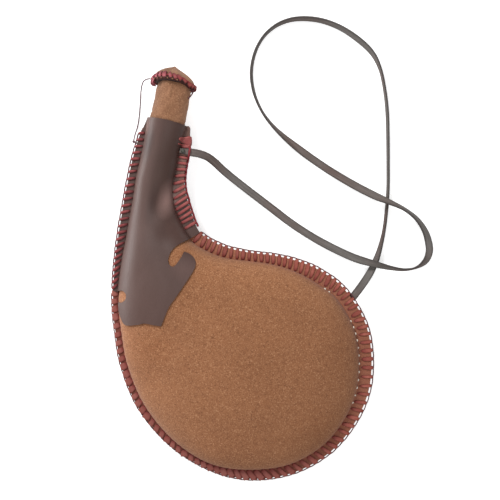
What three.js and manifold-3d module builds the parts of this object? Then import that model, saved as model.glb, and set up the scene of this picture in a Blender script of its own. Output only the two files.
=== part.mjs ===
// A leather water flask that lies on its back: two suede panels laced together round an inner bladder,
// a smooth leather collar round the neck, a stopper on a tether and a long flat carrying strap.
// Millimetres. +Z is up, the neck points along +Y, and the flask rests on z = 0.
// Places in plan are measured from the centre of the mouth, and heights from the seam plane.

import * as THREE from 'three';
import { mergeVertices } from 'three/addons/utils/BufferGeometryUtils.js';
import Module from 'manifold-3d';

const wasm = await Module();
wasm.setup();

// Leather, walls and clearances
const clearance = 0.3;
const suedeThickness = 1.4;
const collarThickness = 1.4;
const bladderWall = 0.6;
const seamHeight = 23.6;

// The leather's edge in plan: x, y and the width of the flat flange there, by side, from the mouth down
const leftSide = [
  [-21.5, 0, 2.9],
  [-24.2, -22, 7.3],
  [-26, -44, 9.2],
  [-26, -62, 8.9],
  [-25.8, -83, 10],
  [-25, -104, 9.9],
  [-24, -125, 9.5],
  [-22.3, -146, 8.2],
  [-19.3, -168, 6.8],
  [-15.3, -190, 5.6],
  [-8.5, -213, 6],
];
const rightSide = [
  [23.5, 0, 4.9],
  [26.8, -22, 10.1],
  [27.2, -44, 10.4],
  [30.4, -61, 13.4],
  [38.2, -77, 15.6],
  [52, -99, 12.4],
  [66, -106.8, 11.4],
  [85, -110.8, 10.4],
  [107, -111, 8.6],
  [130, -109, 9],
  [154, -109.3, 10.5],
];
// The leather's edge round the belly, from the left side to the right side
const belly = [
  [6, -249, 6.2],
  [32, -287, 6.8],
  [70, -316, 6.2],
  [112, -331, 6],
  [154, -332, 9.3],
  [195.8, -316.8, 9.3],
  [229, -287, 10],
  [248, -247, 11.2],
  [251.5, -207, 12.4],
  [238.5, -162, 12.5],
  [210, -129.2, 12],
  [181, -114.4, 12.8],
];
// The middle of the flask from the mouth to the middle of the belly: x, y and the front's height there
const middleLine = [
  [0, 0, 18.6],
  [0, -22, 16.9],
  [0, -44, 16.7],
  [0.2, -61, 17],
  [4.5, -84, 18.6],
  [15, -106, 21.5],
  [28, -128, 25.5],
  [44, -149, 29.5],
  [63, -170, 33],
  [88, -194, 35.5],
  [118, -218, 36.5],
];
// The back's depth at the same places; it is cut flat where it meets the ground
const backDepths = [18.6, 16.9, 16.7, 17, 18.2, 19.3, 20.3, 21.1, 21.6, 22.4, 31];
const neckRoundness = 2;
const bellyRoundness = 2.3;

// Mesh steps: places between two outline points, and rings from the flange to the middle
const stepsPerPlace = 2;
const domeRings = 5;
const suedeTop = 0.5;

// Neck tube and stopper
const mouthRecess = 1.2;
const tubeBore = 12;
const tubeWall = 1.5;
const tubeLength = 40;
const tubeHeadGap = 0.45;
const tubeHeadTop = 18.2;
const tubeHeadFoot = 17.3;
const plugClearance = 0.3;
const plugLength = 28;
const stopperRadius = 17.7;
const stopperTopRadius = 17;
const stopperHeight = 36;
const sleeveThickness = 1.7;
const lidRadius = 21.6;
const lidShift = 1.5;
const lidDiscThickness = 1.5;
const capHeight = 16.6;
const capLean = 3;
const rimLaceThickness = 1.7;
const rimLaceLap = 2.4;
const rimLaceStitches = 26;
const roundSides = 32;

// Lacing: flat lace wrapped round the flange, with a run of lace along the outside of the edge.
// Each lacing has its first and last stitch as places on the outline, and the step from stitch to stitch.
const laceWidth = 3;
const laceThickness = 1;
const edgeRunWidth = 1.5;
const edgeRunGap = 0.8;
const laceSlant = 1.6;
const flangeMargin = 0.9;
const leftLacing = { first: 0.75, last: 8.15, steps: [[0, 6.4]], slant: laceSlant };
const rightLacing = { first: 28.35, last: 32.05, steps: [[0, 5.5]], slant: -laceSlant };
const bodyLacing = {
  first: 8.62,
  last: 27.62,
  steps: [
    [8.6, 8],
    [12, 8],
    [14.5, 7.3],
    [17.5, 9],
    [19.5, 8.6],
    [21.5, 6.2],
    [28, 5.9],
  ],
  slant: laceSlant,
};

// Carrying strap, a flat thong: x, y, lift of its lowest edge over the ground, and how far it stands on edge
const strapWidth = 8;
const strapThickness = 2;
const strapSteps = 80;
const strapRoute = [
  [18.6, -26.1, 28.7, 0],
  [30.8, -25.5, 28.7, 0],
  [38.7, -25.1, 26.2, 0],
  [47, -26.2, 21.6, 0],
  [54.9, -29.7, 15.9, 0],
  [63.8, -34.9, 10.4, 2],
  [75.8, -41, 5.6, 4],
  [90.5, -48.1, 2.6, 5],
  [106.2, -55.5, 0.8, 5],
  [122.8, -63.4, 0.2, 5],
  [139.3, -71.3, 0, 5],
  [157.3, -78.7, 0, 5],
  [178.4, -85.9, 0.4, 6],
  [201.6, -92.1, 3, 8],
  [217.1, -95, 6, 14],
  [234.4, -96.3, 9, 40],
  [250, -96.9, 7.4, 64],
  [264.6, -95.8, 3.8, 78],
  [276, -91.4, 1, 80],
  [284.5, -82.9, 0, 40],
  [286.9, -73, 0, 12],
  [284, -63.1, 1, 14],
  [277, -52.3, 3.4, 38],
  [265.8, -42.5, 6.4, 56],
  [251.2, -35.7, 8.8, 64],
  [235.3, -31.9, 9.5, 48],
  [219.1, -28.4, 8.2, 14],
  [197.4, -21.9, 4, 2],
  [173.4, -13.4, 0.9, 0],
  [153.9, -5.6, 0, 0],
  [135.6, 2.5, 0, 18],
  [117.3, 11.8, 0, 52],
  [101.6, 22, 0, 70],
  [88.6, 34.2, 0, 78],
  [77.8, 50.3, 0, 76],
  [71.3, 69.3, 0, 76],
  [70.8, 89.4, 0, 80],
  [75.9, 107, 0, 82],
  [85.5, 120.2, 0, 79],
  [98.4, 129.2, 0, 75],
  [113.8, 134, 0, 71],
  [132, 135.3, 0, 69],
  [152.2, 131.9, 0, 66],
  [172.6, 123.6, 0, 62],
  [188.3, 113.4, 0, 70],
  [199.4, 99.1, 0, 82],
  [208.3, 79.1, 0, 83],
  [215.4, 57.3, 0, 80],
  [221.4, 32.2, 0, 81],
  [227.2, 5.7, 0, 82],
  [232.2, -18.7, 0, 82],
  [235.4, -42.4, 0, 81],
  [236.9, -62.1, 0, 80],
  [236.5, -79.6, 0, 68],
  [235.2, -92, 0, 50],
  [232.2, -104.5, 2, 26],
  [227.6, -115.6, 7.8, 6],
  [223, -124.5, 14.6, 0],
  [220.2, -129.6, 17.6, 0],
  [217.4, -135.1, 18.4, 0],
];

// Tether, a thin round cord that hangs from the stopper's rim and lies towards the ground: x, y, height
const tetherDiameter = 1.2;
const tetherRoute = [
  [-25.6, 38.6, 23.6],
  [-28.8, 37.6, 22.8],
  [-31.9, 36, 18.8],
  [-33.8, 33.9, 12.4],
  [-34.8, 30.6, 5.8],
  [-34.9, 25.4, 1.9],
  [-33.8, 17.4, 0.8],
  [-32.5, 8.5, 0.8],
  [-31.5, -1, 0.8],
  [-31.2, -9.2, 1.2],
  [-31.4, -15, 4],
  [-31, -19.4, 9],
  [-30.3, -22.8, 14.6],
  [-29.5, -26, 20],
];

const tetherSteps = 40;

// Small pieces: radius, flatness and centre of each knot, the stud's foot, and the lace end by the lid
const strapKnot = [2.6, 0.85, 215.5, -137.4, 18.4];
const tetherKnot = [1.6, 1, -29, -26.4, 21.9];
const studRadius = 2.5;
const studHeight = 2.4;
const studPlace = [21.9, -25.9, 31.1];
const collarFan = [
  [13.4, -15.6],
  [31, -8.6],
  [31, -20.4],
];
// How far from the mouth the knot's wrap is cut out of, as places on the outline
const knotReach = { first: 0.25, last: 1, steps: 4 };
const fanDepth = 40;
const tailEnds = [
  [19.9, 34.3, 8],
  [16.9, 26.3, 8.4],
];
const tailWidth = 2.6;
const tailKnotRadius = 1.7;

// The collar's lower edge in plan, cut as a scroll: from the left flange to the right flange
const collarEdgeLeft = -176.5;
const collarEdgeRight = -96;
const collarNotch = [
  [-12.5, -175],
  [-7.5, -173.6],
  [-2.9, -176.3],
  [-2.5, -181.2],
  [-6, -185.2],
  [-10, -186],
];
const collarFoot = [
  [-9.6, -187.8],
  [-7.6, -194.2],
  [-3.6, -201],
  [2.6, -206],
  [14.9, -202.6],
  [21.3, -199.6],
  [31.2, -199.1],
  [38.1, -198.6],
];
const collarScroll = [
  [39.1, -193.9],
  [41.9, -179],
  [46.8, -167.5],
  [53.9, -149.7],
  [57.7, -139.4],
  [58.3, -132.7],
  [55.6, -127.2],
  [49.8, -124],
  [44.8, -123.2],
];
const collarCurl = [
  [43.3, -128.9],
  [39.9, -137],
  [37.1, -139.8],
  [33.6, -138.4],
  [31.5, -134.6],
  [32, -127],
  [36, -119.6],
  [43.5, -112.6],
  [53, -103.6],
];

// Colours, roughness and metalness
const suedeFinish = { color: 0x996649, roughness: 0.95, metalness: 0 };
const collarFinish = { color: 0x5f4743, roughness: 0.5, metalness: 0 };
const laceFinish = { color: 0x9a4644, roughness: 0.7, metalness: 0 };
const strapFinish = { color: 0x6e635f, roughness: 0.8, metalness: 0 };
const bladderFinish = { color: 0xd8cdb4, roughness: 0.6, metalness: 0 };
const woodFinish = { color: 0xb08a5a, roughness: 0.7, metalness: 0 };

const flask = new THREE.Group();
const seamGroup = new THREE.Group();
seamGroup.position.z = seamHeight;
flask.add(seamGroup);

function addMesh(parent, name, geometry, finish) {
  const mesh = new THREE.Mesh(geometry, new THREE.MeshStandardMaterial(finish));
  mesh.name = name;
  parent.add(mesh);
  return mesh;
}

// A closed geometry from triangles given as three points each, with its faces turned outwards
function closedGeometry(triangles) {
  const sharp = triangles.filter(([a, b, c]) => {
    const longEnough = 1e-4;
    return a.distanceTo(b) > longEnough && b.distanceTo(c) > longEnough && c.distanceTo(a) > longEnough;
  });
  let volume = 0;
  for (const [a, b, c] of sharp) volume += a.dot(new THREE.Vector3().crossVectors(b, c));
  const positions = [];
  for (const [a, b, c] of sharp) {
    const corners = volume > 0 ? [a, b, c] : [a, c, b];
    for (const corner of corners) positions.push(corner.x, corner.y, corner.z);
  }
  const geometry = new THREE.BufferGeometry();
  geometry.setAttribute('position', new THREE.Float32BufferAttribute(positions, 3));
  geometry.computeVertexNormals();
  return geometry;
}

function quad(triangles, a, b, c, d) {
  triangles.push([a, b, c], [a, c, d]);
}

function curveThrough(points) {
  const corners = points.map((p) => new THREE.Vector3(p[0], p[1], p[2] ?? 0));
  return new THREE.CatmullRomCurve3(corners, false, 'catmullrom', 0.5);
}

// The outline runs from the mouth's left corner round the belly to the mouth's right corner.
// A place is a number along it: whole numbers are the points listed above.
const outlinePoints = [...leftSide, ...belly, ...[...rightSide].reverse()];
const lastPlace = outlinePoints.length - 1;
const sidePlaces = leftSide.length - 1;
const outline = curveThrough(outlinePoints);
const middle = curveThrough(middleLine);
const depthLine = curveThrough(backDepths.map((depth, row) => [row, depth, 0]));

function outlineAt(place) {
  const within = THREE.MathUtils.clamp(place / lastPlace, 0, 1);
  return outline.getPoint(within);
}

function edgeAt(place) {
  const point = outlineAt(place);
  return new THREE.Vector3(point.x, point.y, 0);
}

function inwardAt(place) {
  const step = 0.02;
  const ahead = edgeAt(Math.min(place + step, lastPlace));
  const behind = edgeAt(Math.max(place - step, 0));
  const along = ahead.sub(behind).normalize();
  return new THREE.Vector3(-along.y, along.x, 0);
}

function rootAt(place) {
  return edgeAt(place).addScaledVector(inwardAt(place), outlineAt(place).z);
}

// How far down the middle line a place on the outline lies: 0 at the mouth, its last row round the belly
function rowOf(place) {
  return Math.min(place, lastPlace - place, sidePlaces);
}

function middleAt(row) {
  return middle.getPoint(row / sidePlaces);
}

const flangeTop = clearance / 2 + suedeThickness;

function domeHeight(row, side) {
  if (side > 0) return middleAt(row).z;
  return depthLine.getPoint(row / sidePlaces).y;
}

function aboveGround(point) {
  point.z = Math.max(point.z, -seamHeight);
  return point;
}

// The suede's outer face without its thickness: ring 0 is the edge, ring 1 the root of the dome
function surfacePoint(place, ring, side) {
  if (ring === 0) return edgeAt(place).setZ(side * flangeTop);
  const root = rootAt(place);
  if (ring === 1) return root.setZ(side * flangeTop);
  const row = rowOf(place);
  const centre = middleAt(row).setZ(0);
  const inward = 1 - Math.cos(((ring - 1) / domeRings) * (Math.PI / 2));
  const roundness = THREE.MathUtils.mapLinear(Math.min(row, 8), 0, 8, neckRoundness, bellyRoundness);
  const rise = Math.sqrt(1 - Math.pow(1 - inward, roundness));
  const height = flangeTop + (domeHeight(row, side) - flangeTop) * rise;
  return aboveGround(root.lerp(centre, inward).setZ(side * height));
}

const middleRing = domeRings + 1;

function surfaceNormal(place, ring, side, step) {
  const up = new THREE.Vector3(0, 0, side);
  if (ring === 0) return up;
  const row = rowOf(place);
  if (ring === middleRing && row >= sidePlaces) return up;
  const ahead = Math.min(place + step, lastPlace);
  const behind = Math.max(place - step, 0);
  const along = surfacePoint(ahead, ring, side).sub(surfacePoint(behind, ring, side));
  let across;
  if (ring === middleRing) {
    const onLeft = Math.min(place, lastPlace - place);
    const leftPoint = surfacePoint(onLeft, ring - 1, side);
    across = surfacePoint(lastPlace - onLeft, ring - 1, side).sub(leftPoint);
    const above = middleAt(Math.max(row - step, 0));
    const below = middleAt(Math.min(row + step, sidePlaces));
    const drop = domeHeight(Math.min(row + step, sidePlaces), side) - domeHeight(Math.max(row - step, 0), side);
    along.set(below.x - above.x, below.y - above.y, side * drop);
  } else {
    const inner = surfacePoint(place, ring + 1, side);
    across = inner.sub(surfacePoint(place, ring === 1 ? 1 : ring - 1, side));
  }
  const normal = new THREE.Vector3().crossVectors(along, across).normalize();
  if (normal.dot(up) < 0) normal.negate();
  if (ring > 1) return normal;
  return normal.add(up).divideScalar(1 + Math.max(normal.dot(up) - 1, 0));
}

// A point that lies a distance outside of the suede's face; the distance is negative inside it
function skinPoint(place, ring, side, distance) {
  const step = 1 / stepsPerPlace;
  const point = surfacePoint(place, ring, side);
  if (ring === 1) {
    const dome = surfaceNormal(place, 2, side, step);
    const lean = 1 + dome.z * side;
    const shift = new THREE.Vector3(dome.x, dome.y, 0).divideScalar(lean).multiplyScalar(distance);
    return point.add(shift).setZ(side * (flangeTop + distance));
  }
  point.addScaledVector(surfaceNormal(place, ring, side, step), distance);
  return distance > 0 ? point : aboveGround(point);
}

function skin(places, side, distance) {
  return places.map((place) => {
    const column = [];
    for (let ring = 0; ring <= middleRing; ring++) column.push(skinPoint(place, ring, side, distance));
    return column;
  });
}

function placesBetween(first, last, stepsEach = stepsPerPlace) {
  const count = Math.round((last - first) * stepsEach);
  const places = [];
  for (let i = 0; i <= count; i++) places.push(first + ((last - first) * i) / count);
  return places;
}

// Quads over a skin's columns, from one ring to the middle. Both faces of a wall are split along the
// same diagonals, so that the wall and the gap to the next one stay even.
function coverSkin(triangles, columns, firstRing, flips) {
  for (let k = 0; k + 1 < columns.length; k++)
    for (let ring = firstRing; ring < middleRing; ring++) {
      const here = columns[k];
      const next = columns[k + 1];
      if (flips) quad(triangles, here[ring], next[ring], next[ring + 1], here[ring + 1]);
      else quad(triangles, here[ring], here[ring + 1], next[ring + 1], next[ring]);
    }
}

function coverEnd(triangles, outer, inner, firstRing = 0) {
  for (let ring = firstRing; ring < middleRing; ring++)
    quad(triangles, outer[ring], inner[ring], inner[ring + 1], outer[ring + 1]);
}

function coverEdge(triangles, outer, inner) {
  for (let k = 0; k + 1 < outer.length; k++)
    quad(triangles, outer[k][0], outer[k + 1][0], inner[k + 1][0], inner[k][0]);
}

// Leather over one face of the flask, between two distances from the suede's outer face.
// Each run is a stretch of the outline; runs meet along the middle line.
function leatherShell(runs, side, outerDistance, innerDistance) {
  const triangles = [];
  for (const places of runs) {
    const outer = skin(places, side, outerDistance);
    const inner = skin(places, side, innerDistance);
    coverSkin(triangles, outer, 0, false);
    coverSkin(triangles, inner, 0, true);
    coverEdge(triangles, outer, inner);
    coverEnd(triangles, outer[0], inner[0]);
    coverEnd(triangles, inner[inner.length - 1], outer[outer.length - 1]);
  }
  return closedGeometry(triangles);
}

function suedePanel(side) {
  const places = placesBetween(suedeTop, lastPlace - suedeTop);
  return leatherShell([places], side, 0, -suedeThickness);
}

// Solids for cutting
function solidOf(geometry) {
  const bare = geometry.clone();
  bare.deleteAttribute('normal');
  bare.deleteAttribute('uv');
  const merged = mergeVertices(bare, 1e-4);
  const vertProperties = new Float32Array(merged.attributes.position.array);
  const triVerts = new Uint32Array(merged.index.array);
  return new wasm.Manifold(new wasm.Mesh({ numProp: 3, vertProperties, triVerts }));
}

function geometryOf(solid) {
  const mesh = solid.getMesh();
  const geometry = new THREE.BufferGeometry();
  geometry.setAttribute('position', new THREE.Float32BufferAttribute(mesh.vertProperties, 3));
  geometry.setIndex(new THREE.BufferAttribute(mesh.triVerts, 1));
  geometry.computeVertexNormals();
  return geometry;
}

function collarPattern() {
  const outside = 60;
  const above = 10;
  const pattern = new THREE.Shape();
  const vectors = (points) => points.map(([x, y]) => new THREE.Vector2(x, y));
  pattern.moveTo(outside, above);
  pattern.lineTo(-outside, above);
  pattern.lineTo(-outside, collarEdgeLeft);
  pattern.lineTo(collarNotch[0][0], collarEdgeLeft);
  pattern.lineTo(...collarNotch[0]);
  pattern.splineThru(vectors(collarNotch.slice(1)));
  pattern.lineTo(...collarFoot[0]);
  pattern.splineThru(vectors(collarFoot.slice(1)));
  pattern.lineTo(...collarScroll[0]);
  pattern.splineThru(vectors(collarScroll.slice(1)));
  pattern.lineTo(...collarCurl[0]);
  pattern.splineThru(vectors(collarCurl.slice(1)));
  pattern.lineTo(outside, collarEdgeRight);
  return pattern;
}

function collarSheet(side) {
  const left = placesBetween(0, sidePlaces);
  const right = placesBetween(lastPlace - sidePlaces, lastPlace);
  const sheet = leatherShell([left, right], side, clearance + collarThickness, clearance);
  const deep = 60;
  const prism = new THREE.ExtrudeGeometry(collarPattern(), { depth: deep, bevelEnabled: false, curveSegments: 2 });
  prism.translate(0, 0, side > 0 ? 0 : -deep);
  return geometryOf(solidOf(sheet).intersect(solidOf(prism)));
}

// The bladder follows the suede's inside, closed along the seam and open at the neck
function bladderSkin(places, side, distance) {
  return skin(places, side, -distance).map((column, k) => {
    const inset = distance + clearance;
    const seam = rootAt(places[k]).addScaledVector(inwardAt(places[k]), inset);
    column[1] = seam.setZ(0);
    return column;
  });
}

function bladder() {
  const round = sidePlaces + 1;
  const places = [
    ...placesBetween(suedeTop, sidePlaces),
    ...placesBetween(round, lastPlace - round, 1),
    ...placesBetween(lastPlace - sidePlaces, lastPlace - suedeTop),
  ];
  const outerDistance = suedeThickness + clearance;
  const innerDistance = outerDistance + bladderWall;
  const triangles = [];
  for (const side of [1, -1]) {
    const outer = bladderSkin(places, side, outerDistance);
    const inner = bladderSkin(places, side, innerDistance);
    const [first, second] = side > 0 ? [outer, inner] : [inner, outer];
    coverSkin(triangles, first, 1, false);
    coverSkin(triangles, second, 1, true);
    coverEnd(triangles, first[0], second[0], 1);
    coverEnd(triangles, second[second.length - 1], first[first.length - 1], 1);
  }
  return closedGeometry(triangles);
}

// A ring or plug turned round the neck's axis, from radius and y pairs
function turned(profile, closes) {
  const points = profile.map(([radius, y]) => new THREE.Vector2(radius, y));
  if (closes) points.push(points[0].clone());
  const lathe = new THREE.LatheGeometry(points, roundSides);
  const triangles = [];
  const position = lathe.attributes.position;
  const corner = (i) => new THREE.Vector3().fromBufferAttribute(position, i);
  for (let i = 0; i < lathe.index.count; i += 3)
    triangles.push([0, 1, 2].map((n) => corner(lathe.index.getX(i + n))));
  return closedGeometry(triangles);
}

function neckTube() {
  const headFoot = middleAt(suedeTop).y + tubeHeadGap;
  const outside = tubeBore + tubeWall;
  return turned(
    [
      [tubeBore, -mouthRecess],
      [tubeHeadTop, -mouthRecess],
      [tubeHeadFoot, headFoot],
      [outside, headFoot],
      [outside, -tubeLength],
      [tubeBore, -tubeLength],
    ],
    true,
  );
}

const shoulder = clearance - mouthRecess;
const coreRadius = stopperRadius - sleeveThickness - clearance;
const discFoot = stopperHeight + clearance;
const capFoot = discFoot + lidDiscThickness + clearance;

function stopperCore() {
  const plugRadius = tubeBore - plugClearance;
  const chamfer = 1.5;
  return turned([
    [0, shoulder - plugLength],
    [plugRadius - chamfer, shoulder - plugLength],
    [plugRadius, shoulder - plugLength + 2 * chamfer],
    [plugRadius, shoulder],
    [coreRadius, shoulder],
    [coreRadius - (stopperRadius - stopperTopRadius), stopperHeight],
    [0, stopperHeight],
  ]);
}

function stopperSleeve() {
  const taper = stopperRadius - stopperTopRadius;
  const inside = coreRadius + clearance;
  return turned(
    [
      [inside, shoulder],
      [stopperRadius, shoulder],
      [stopperTopRadius, stopperHeight],
      [inside - taper, stopperHeight],
    ],
    true,
  );
}

function lidDisc() {
  const disc = turned([
    [0, discFoot],
    [lidRadius, discFoot],
    [lidRadius, discFoot + lidDiscThickness],
    [0, discFoot + lidDiscThickness],
  ]);
  disc.translate(-lidShift, 0, 0);
  return disc;
}

// The cap is a soft peak that leans to the left
function lidCap() {
  const shape = [
    [0, 0],
    [1, 0],
    [0.98, 0.14],
    [0.86, 0.36],
    [0.62, 0.6],
    [0.34, 0.84],
    [0.12, 0.97],
    [0, 1],
  ];
  const cap = turned(shape.map(([radius, y]) => [radius * lidRadius, capFoot + y * capHeight]));
  const position = cap.attributes.position;
  for (let i = 0; i < position.count; i++) {
    const part = (position.getY(i) - capFoot) / capHeight;
    position.setX(i, position.getX(i) - lidShift - capLean * part * part);
  }
  cap.computeVertexNormals();
  return cap;
}

// Lace whipped round the lid's rim: a ring with one swelling for each stitch
function rimLace() {
  const foot = discFoot - laceThickness;
  const top = capFoot + rimLaceLap;
  const inside = lidRadius + clearance + 0.1;
  const rings = [];
  const count = rimLaceStitches * 2;
  for (let i = 0; i < count; i++) {
    const angle = (i / count) * 2 * Math.PI;
    const swell = i % 2 === 0 ? rimLaceThickness : rimLaceThickness - laceThickness * 0.6;
    const ring = [
      [inside, foot],
      [inside + swell * 0.8, foot],
      [inside + swell, (foot + top) / 2],
      [inside + swell * 0.8, top],
      [inside, top],
    ];
    rings.push(
      ring.map(([r, y]) => new THREE.Vector3(r * Math.cos(angle) - lidShift, y, r * Math.sin(angle))),
    );
  }
  const triangles = [];
  rings.forEach((ring, i) => {
    const next = rings[(i + 1) % rings.length];
    ring.forEach((point, n) => {
      const after = (n + 1) % ring.length;
      quad(triangles, point, ring[after], next[after], next[n]);
    });
  });
  return closedGeometry(triangles);
}

// The stud that holds the strap's upper end down
function strapStud() {
  const stud = turned([
    [0, 0],
    [studRadius, 0],
    [studRadius, studHeight * 0.45],
    [studRadius * 0.7, studHeight * 0.85],
    [0, studHeight],
  ]);
  stud.rotateX(Math.PI / 2);
  stud.translate(...studPlace);
  return stud;
}

// A knot pulled tight, as a slightly flattened ball
function knot(radius, flatness, x, y, z) {
  const ball = new THREE.SphereGeometry(radius, 10, 7);
  ball.scale(1, 1, flatness);
  ball.translate(x, y, z);
  return ball;
}

// The place that lies a distance further along the edge, in millimetres
function placeFrom(place, distance) {
  const probe = 0.05;
  const ahead = edgeAt(Math.min(place + probe, lastPlace));
  const behind = edgeAt(Math.max(place - probe, 0));
  const speed = ahead.distanceTo(behind) / (Math.min(place + probe, lastPlace) - Math.max(place - probe, 0));
  return place + distance / speed;
}

// The step from stitch to stitch at a place, between the listed places
function stepAt(steps, place) {
  const after = steps.findIndex(([at]) => at >= place);
  if (after < 0) return steps[steps.length - 1][1];
  if (after === 0) return steps[0][1];
  const [fromPlace, fromStep] = steps[after - 1];
  const [toPlace, toStep] = steps[after];
  return THREE.MathUtils.mapLinear(place, fromPlace, toPlace, fromStep, toStep);
}

function stitchStops({ first, last, steps }) {
  const stops = [];
  for (let place = first; place <= last; place = placeFrom(place, stepAt(steps, place))) stops.push(place);
  return stops;
}

// Where the lace is cut across at one side of a stitch: the edge run, then the legs over and under the flange
function laceSection(stop, half, coverDistance, slant) {
  const underside = flangeTop + coverDistance + clearance;
  const topside = underside + laceThickness;
  const heights = [-topside, -underside, underside, topside];
  const place = placeFrom(stop, half * laceWidth);
  const inward = inwardAt(place);
  const outer = edgeAt(place).addScaledVector(inward, -edgeRunGap - edgeRunWidth);
  const inner = edgeAt(place).addScaledVector(inward, -edgeRunGap);
  const foot = placeFrom(place, slant);
  const reach = outlineAt(foot).z - coverDistance - flangeMargin;
  const tip = edgeAt(foot).addScaledVector(inwardAt(foot), reach);
  return {
    outer: [outer.clone().setZ(topside), outer.clone().setZ(-topside)],
    inner: heights.map((z) => inner.clone().setZ(z)),
    tip: heights.map((z) => tip.clone().setZ(z)),
  };
}

function coverEdgeRun(triangles, a, b) {
  quad(triangles, a.outer[0], a.outer[1], b.outer[1], b.outer[0]);
  quad(triangles, a.outer[1], a.inner[0], b.inner[0], b.outer[1]);
  quad(triangles, a.inner[3], a.outer[0], b.outer[0], b.inner[3]);
  quad(triangles, a.inner[1], a.inner[2], b.inner[2], b.inner[1]);
}

function coverLeg(triangles, a, b, low) {
  const high = low + 1;
  quad(triangles, a.inner[high], b.inner[high], b.tip[high], a.tip[high]);
  quad(triangles, a.inner[low], a.tip[low], b.tip[low], b.inner[low]);
  quad(triangles, a.tip[high], b.tip[high], b.tip[low], a.tip[low]);
  quad(triangles, a.inner[low], a.inner[high], a.tip[high], a.tip[low]);
  quad(triangles, b.inner[low], b.tip[low], b.tip[high], b.inner[high]);
}

function coverSection(triangles, section, flips) {
  const round = [section.outer[0], section.outer[1], ...section.inner];
  for (let n = 1; n + 1 < round.length; n++) {
    const corners = [round[0], round[n + 1], round[n]];
    triangles.push(flips ? corners.reverse() : corners);
  }
}

// One lacing along the flange, from its first stitch to its last
function lacing(run, coverDistance) {
  const sections = [];
  for (const stop of stitchStops(run))
    for (const half of [-0.5, 0.5]) sections.push(laceSection(stop, half, coverDistance, run.slant));
  const triangles = [];
  for (let i = 0; i + 1 < sections.length; i++) {
    const a = sections[i];
    const b = sections[i + 1];
    coverEdgeRun(triangles, a, b);
    for (const low of [0, 2]) {
      if (i % 2 === 0) coverLeg(triangles, a, b, low);
      else quad(triangles, a.inner[low], a.inner[low + 1], b.inner[low + 1], b.inner[low]);
    }
  }
  coverSection(triangles, sections[0], false);
  coverSection(triangles, sections[sections.length - 1], true);
  return closedGeometry(triangles);
}

// The knot at the top of the right lacing: lace drawn into a fan over the collar's shoulder
function collarKnot() {
  const left = placesBetween(knotReach.first, knotReach.last, knotReach.steps);
  const right = placesBetween(lastPlace - knotReach.last, lastPlace - knotReach.first, knotReach.steps);
  const under = 2 * clearance + collarThickness;
  const band = leatherShell([left, right], 1, under + laceThickness, under);
  const fan = new THREE.Shape();
  collarFan.forEach(([x, y], i) => (i ? fan.lineTo(x, y) : fan.moveTo(x, y)));
  const prism = new THREE.ExtrudeGeometry(fan, { depth: fanDepth, bevelEnabled: false });
  return geometryOf(solidOf(band).intersect(solidOf(prism)));
}

// A strip swept along a route; at each step its section is turned about the way it runs
function swept(route, steps, section, rollAt) {
  const rings = [];
  for (let i = 0; i <= steps; i++) {
    const t = i / steps;
    const centre = route.getPoint(t);
    const step = 0.002;
    const ahead = route.getPoint(Math.min(t + step, 1));
    const along = ahead.sub(route.getPoint(Math.max(t - step, 0))).normalize();
    const level = new THREE.Vector3(0, 0, 1).cross(along).normalize();
    const up = new THREE.Vector3().crossVectors(along, level);
    const roll = THREE.MathUtils.degToRad(rollAt(t));
    const across = level.clone().multiplyScalar(Math.cos(roll)).addScaledVector(up, Math.sin(roll));
    const normal = new THREE.Vector3().crossVectors(along, across);
    rings.push(section.map(([x, y]) => centre.clone().addScaledVector(across, x).addScaledVector(normal, y)));
  }
  const triangles = [];
  for (let i = 0; i < steps; i++)
    for (let n = 0; n < section.length; n++) {
      const after = (n + 1) % section.length;
      quad(triangles, rings[i][n], rings[i][after], rings[i + 1][after], rings[i + 1][n]);
    }
  for (let n = 1; n + 1 < section.length; n++) {
    triangles.push([rings[0][0], rings[0][n + 1], rings[0][n]]);
    triangles.push([rings[steps][0], rings[steps][n], rings[steps][n + 1]]);
  }
  return closedGeometry(triangles);
}

// Heights in the strap's route are from the ground to its lowest edge
function strap() {
  const halfWidth = strapWidth / 2;
  const halfThickness = strapThickness / 2;
  const centres = strapRoute.map(([x, y, lift, roll]) => {
    const angle = THREE.MathUtils.degToRad(roll);
    const rise = Math.sin(angle) * halfWidth + Math.cos(angle) * halfThickness;
    return [x, y, Math.max(lift, 0.05) + rise];
  });
  const route = curveThrough(centres);
  const rolls = curveThrough(strapRoute.map(([, , , roll], i) => [i, roll, 0]));
  const round = 0.5;
  const section = [
    [halfWidth, -halfThickness + round],
    [halfWidth, halfThickness - round],
    [halfWidth - round, halfThickness],
    [round - halfWidth, halfThickness],
    [-halfWidth, halfThickness - round],
    [-halfWidth, round - halfThickness],
    [round - halfWidth, -halfThickness],
    [halfWidth - round, -halfThickness],
  ];
  return swept(route, strapSteps, section, (t) => rolls.getPoint(t).y);
}

function tether() {
  const sides = 8;
  const section = [];
  for (let n = 0; n < sides; n++) {
    const angle = (2 * Math.PI * (n + 0.5)) / sides;
    section.push([(Math.cos(angle) * tetherDiameter) / 2, (Math.sin(angle) * tetherDiameter) / 2]);
  }
  return swept(curveThrough(tetherRoute), tetherSteps, section, () => 0);
}

// The end of the lace that hangs below the lid's rim
function laceTail() {
  const [top, foot] = tailEnds.map(([x, y, z]) => new THREE.Vector3(x, y, z));
  const half = tailWidth / 2;
  const thick = laceThickness / 2;
  const section = [
    [half, -thick],
    [half, thick],
    [-half, thick],
    [-half, -thick],
  ];
  const route = new THREE.LineCurve3(top, foot);
  const strip = solidOf(swept(route, 4, section, () => 0));
  const lump = new THREE.SphereGeometry(tailKnotRadius, 10, 7);
  lump.translate(top.x, top.y - tailKnotRadius, top.z);
  return geometryOf(strip.add(solidOf(lump)));
}

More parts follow.
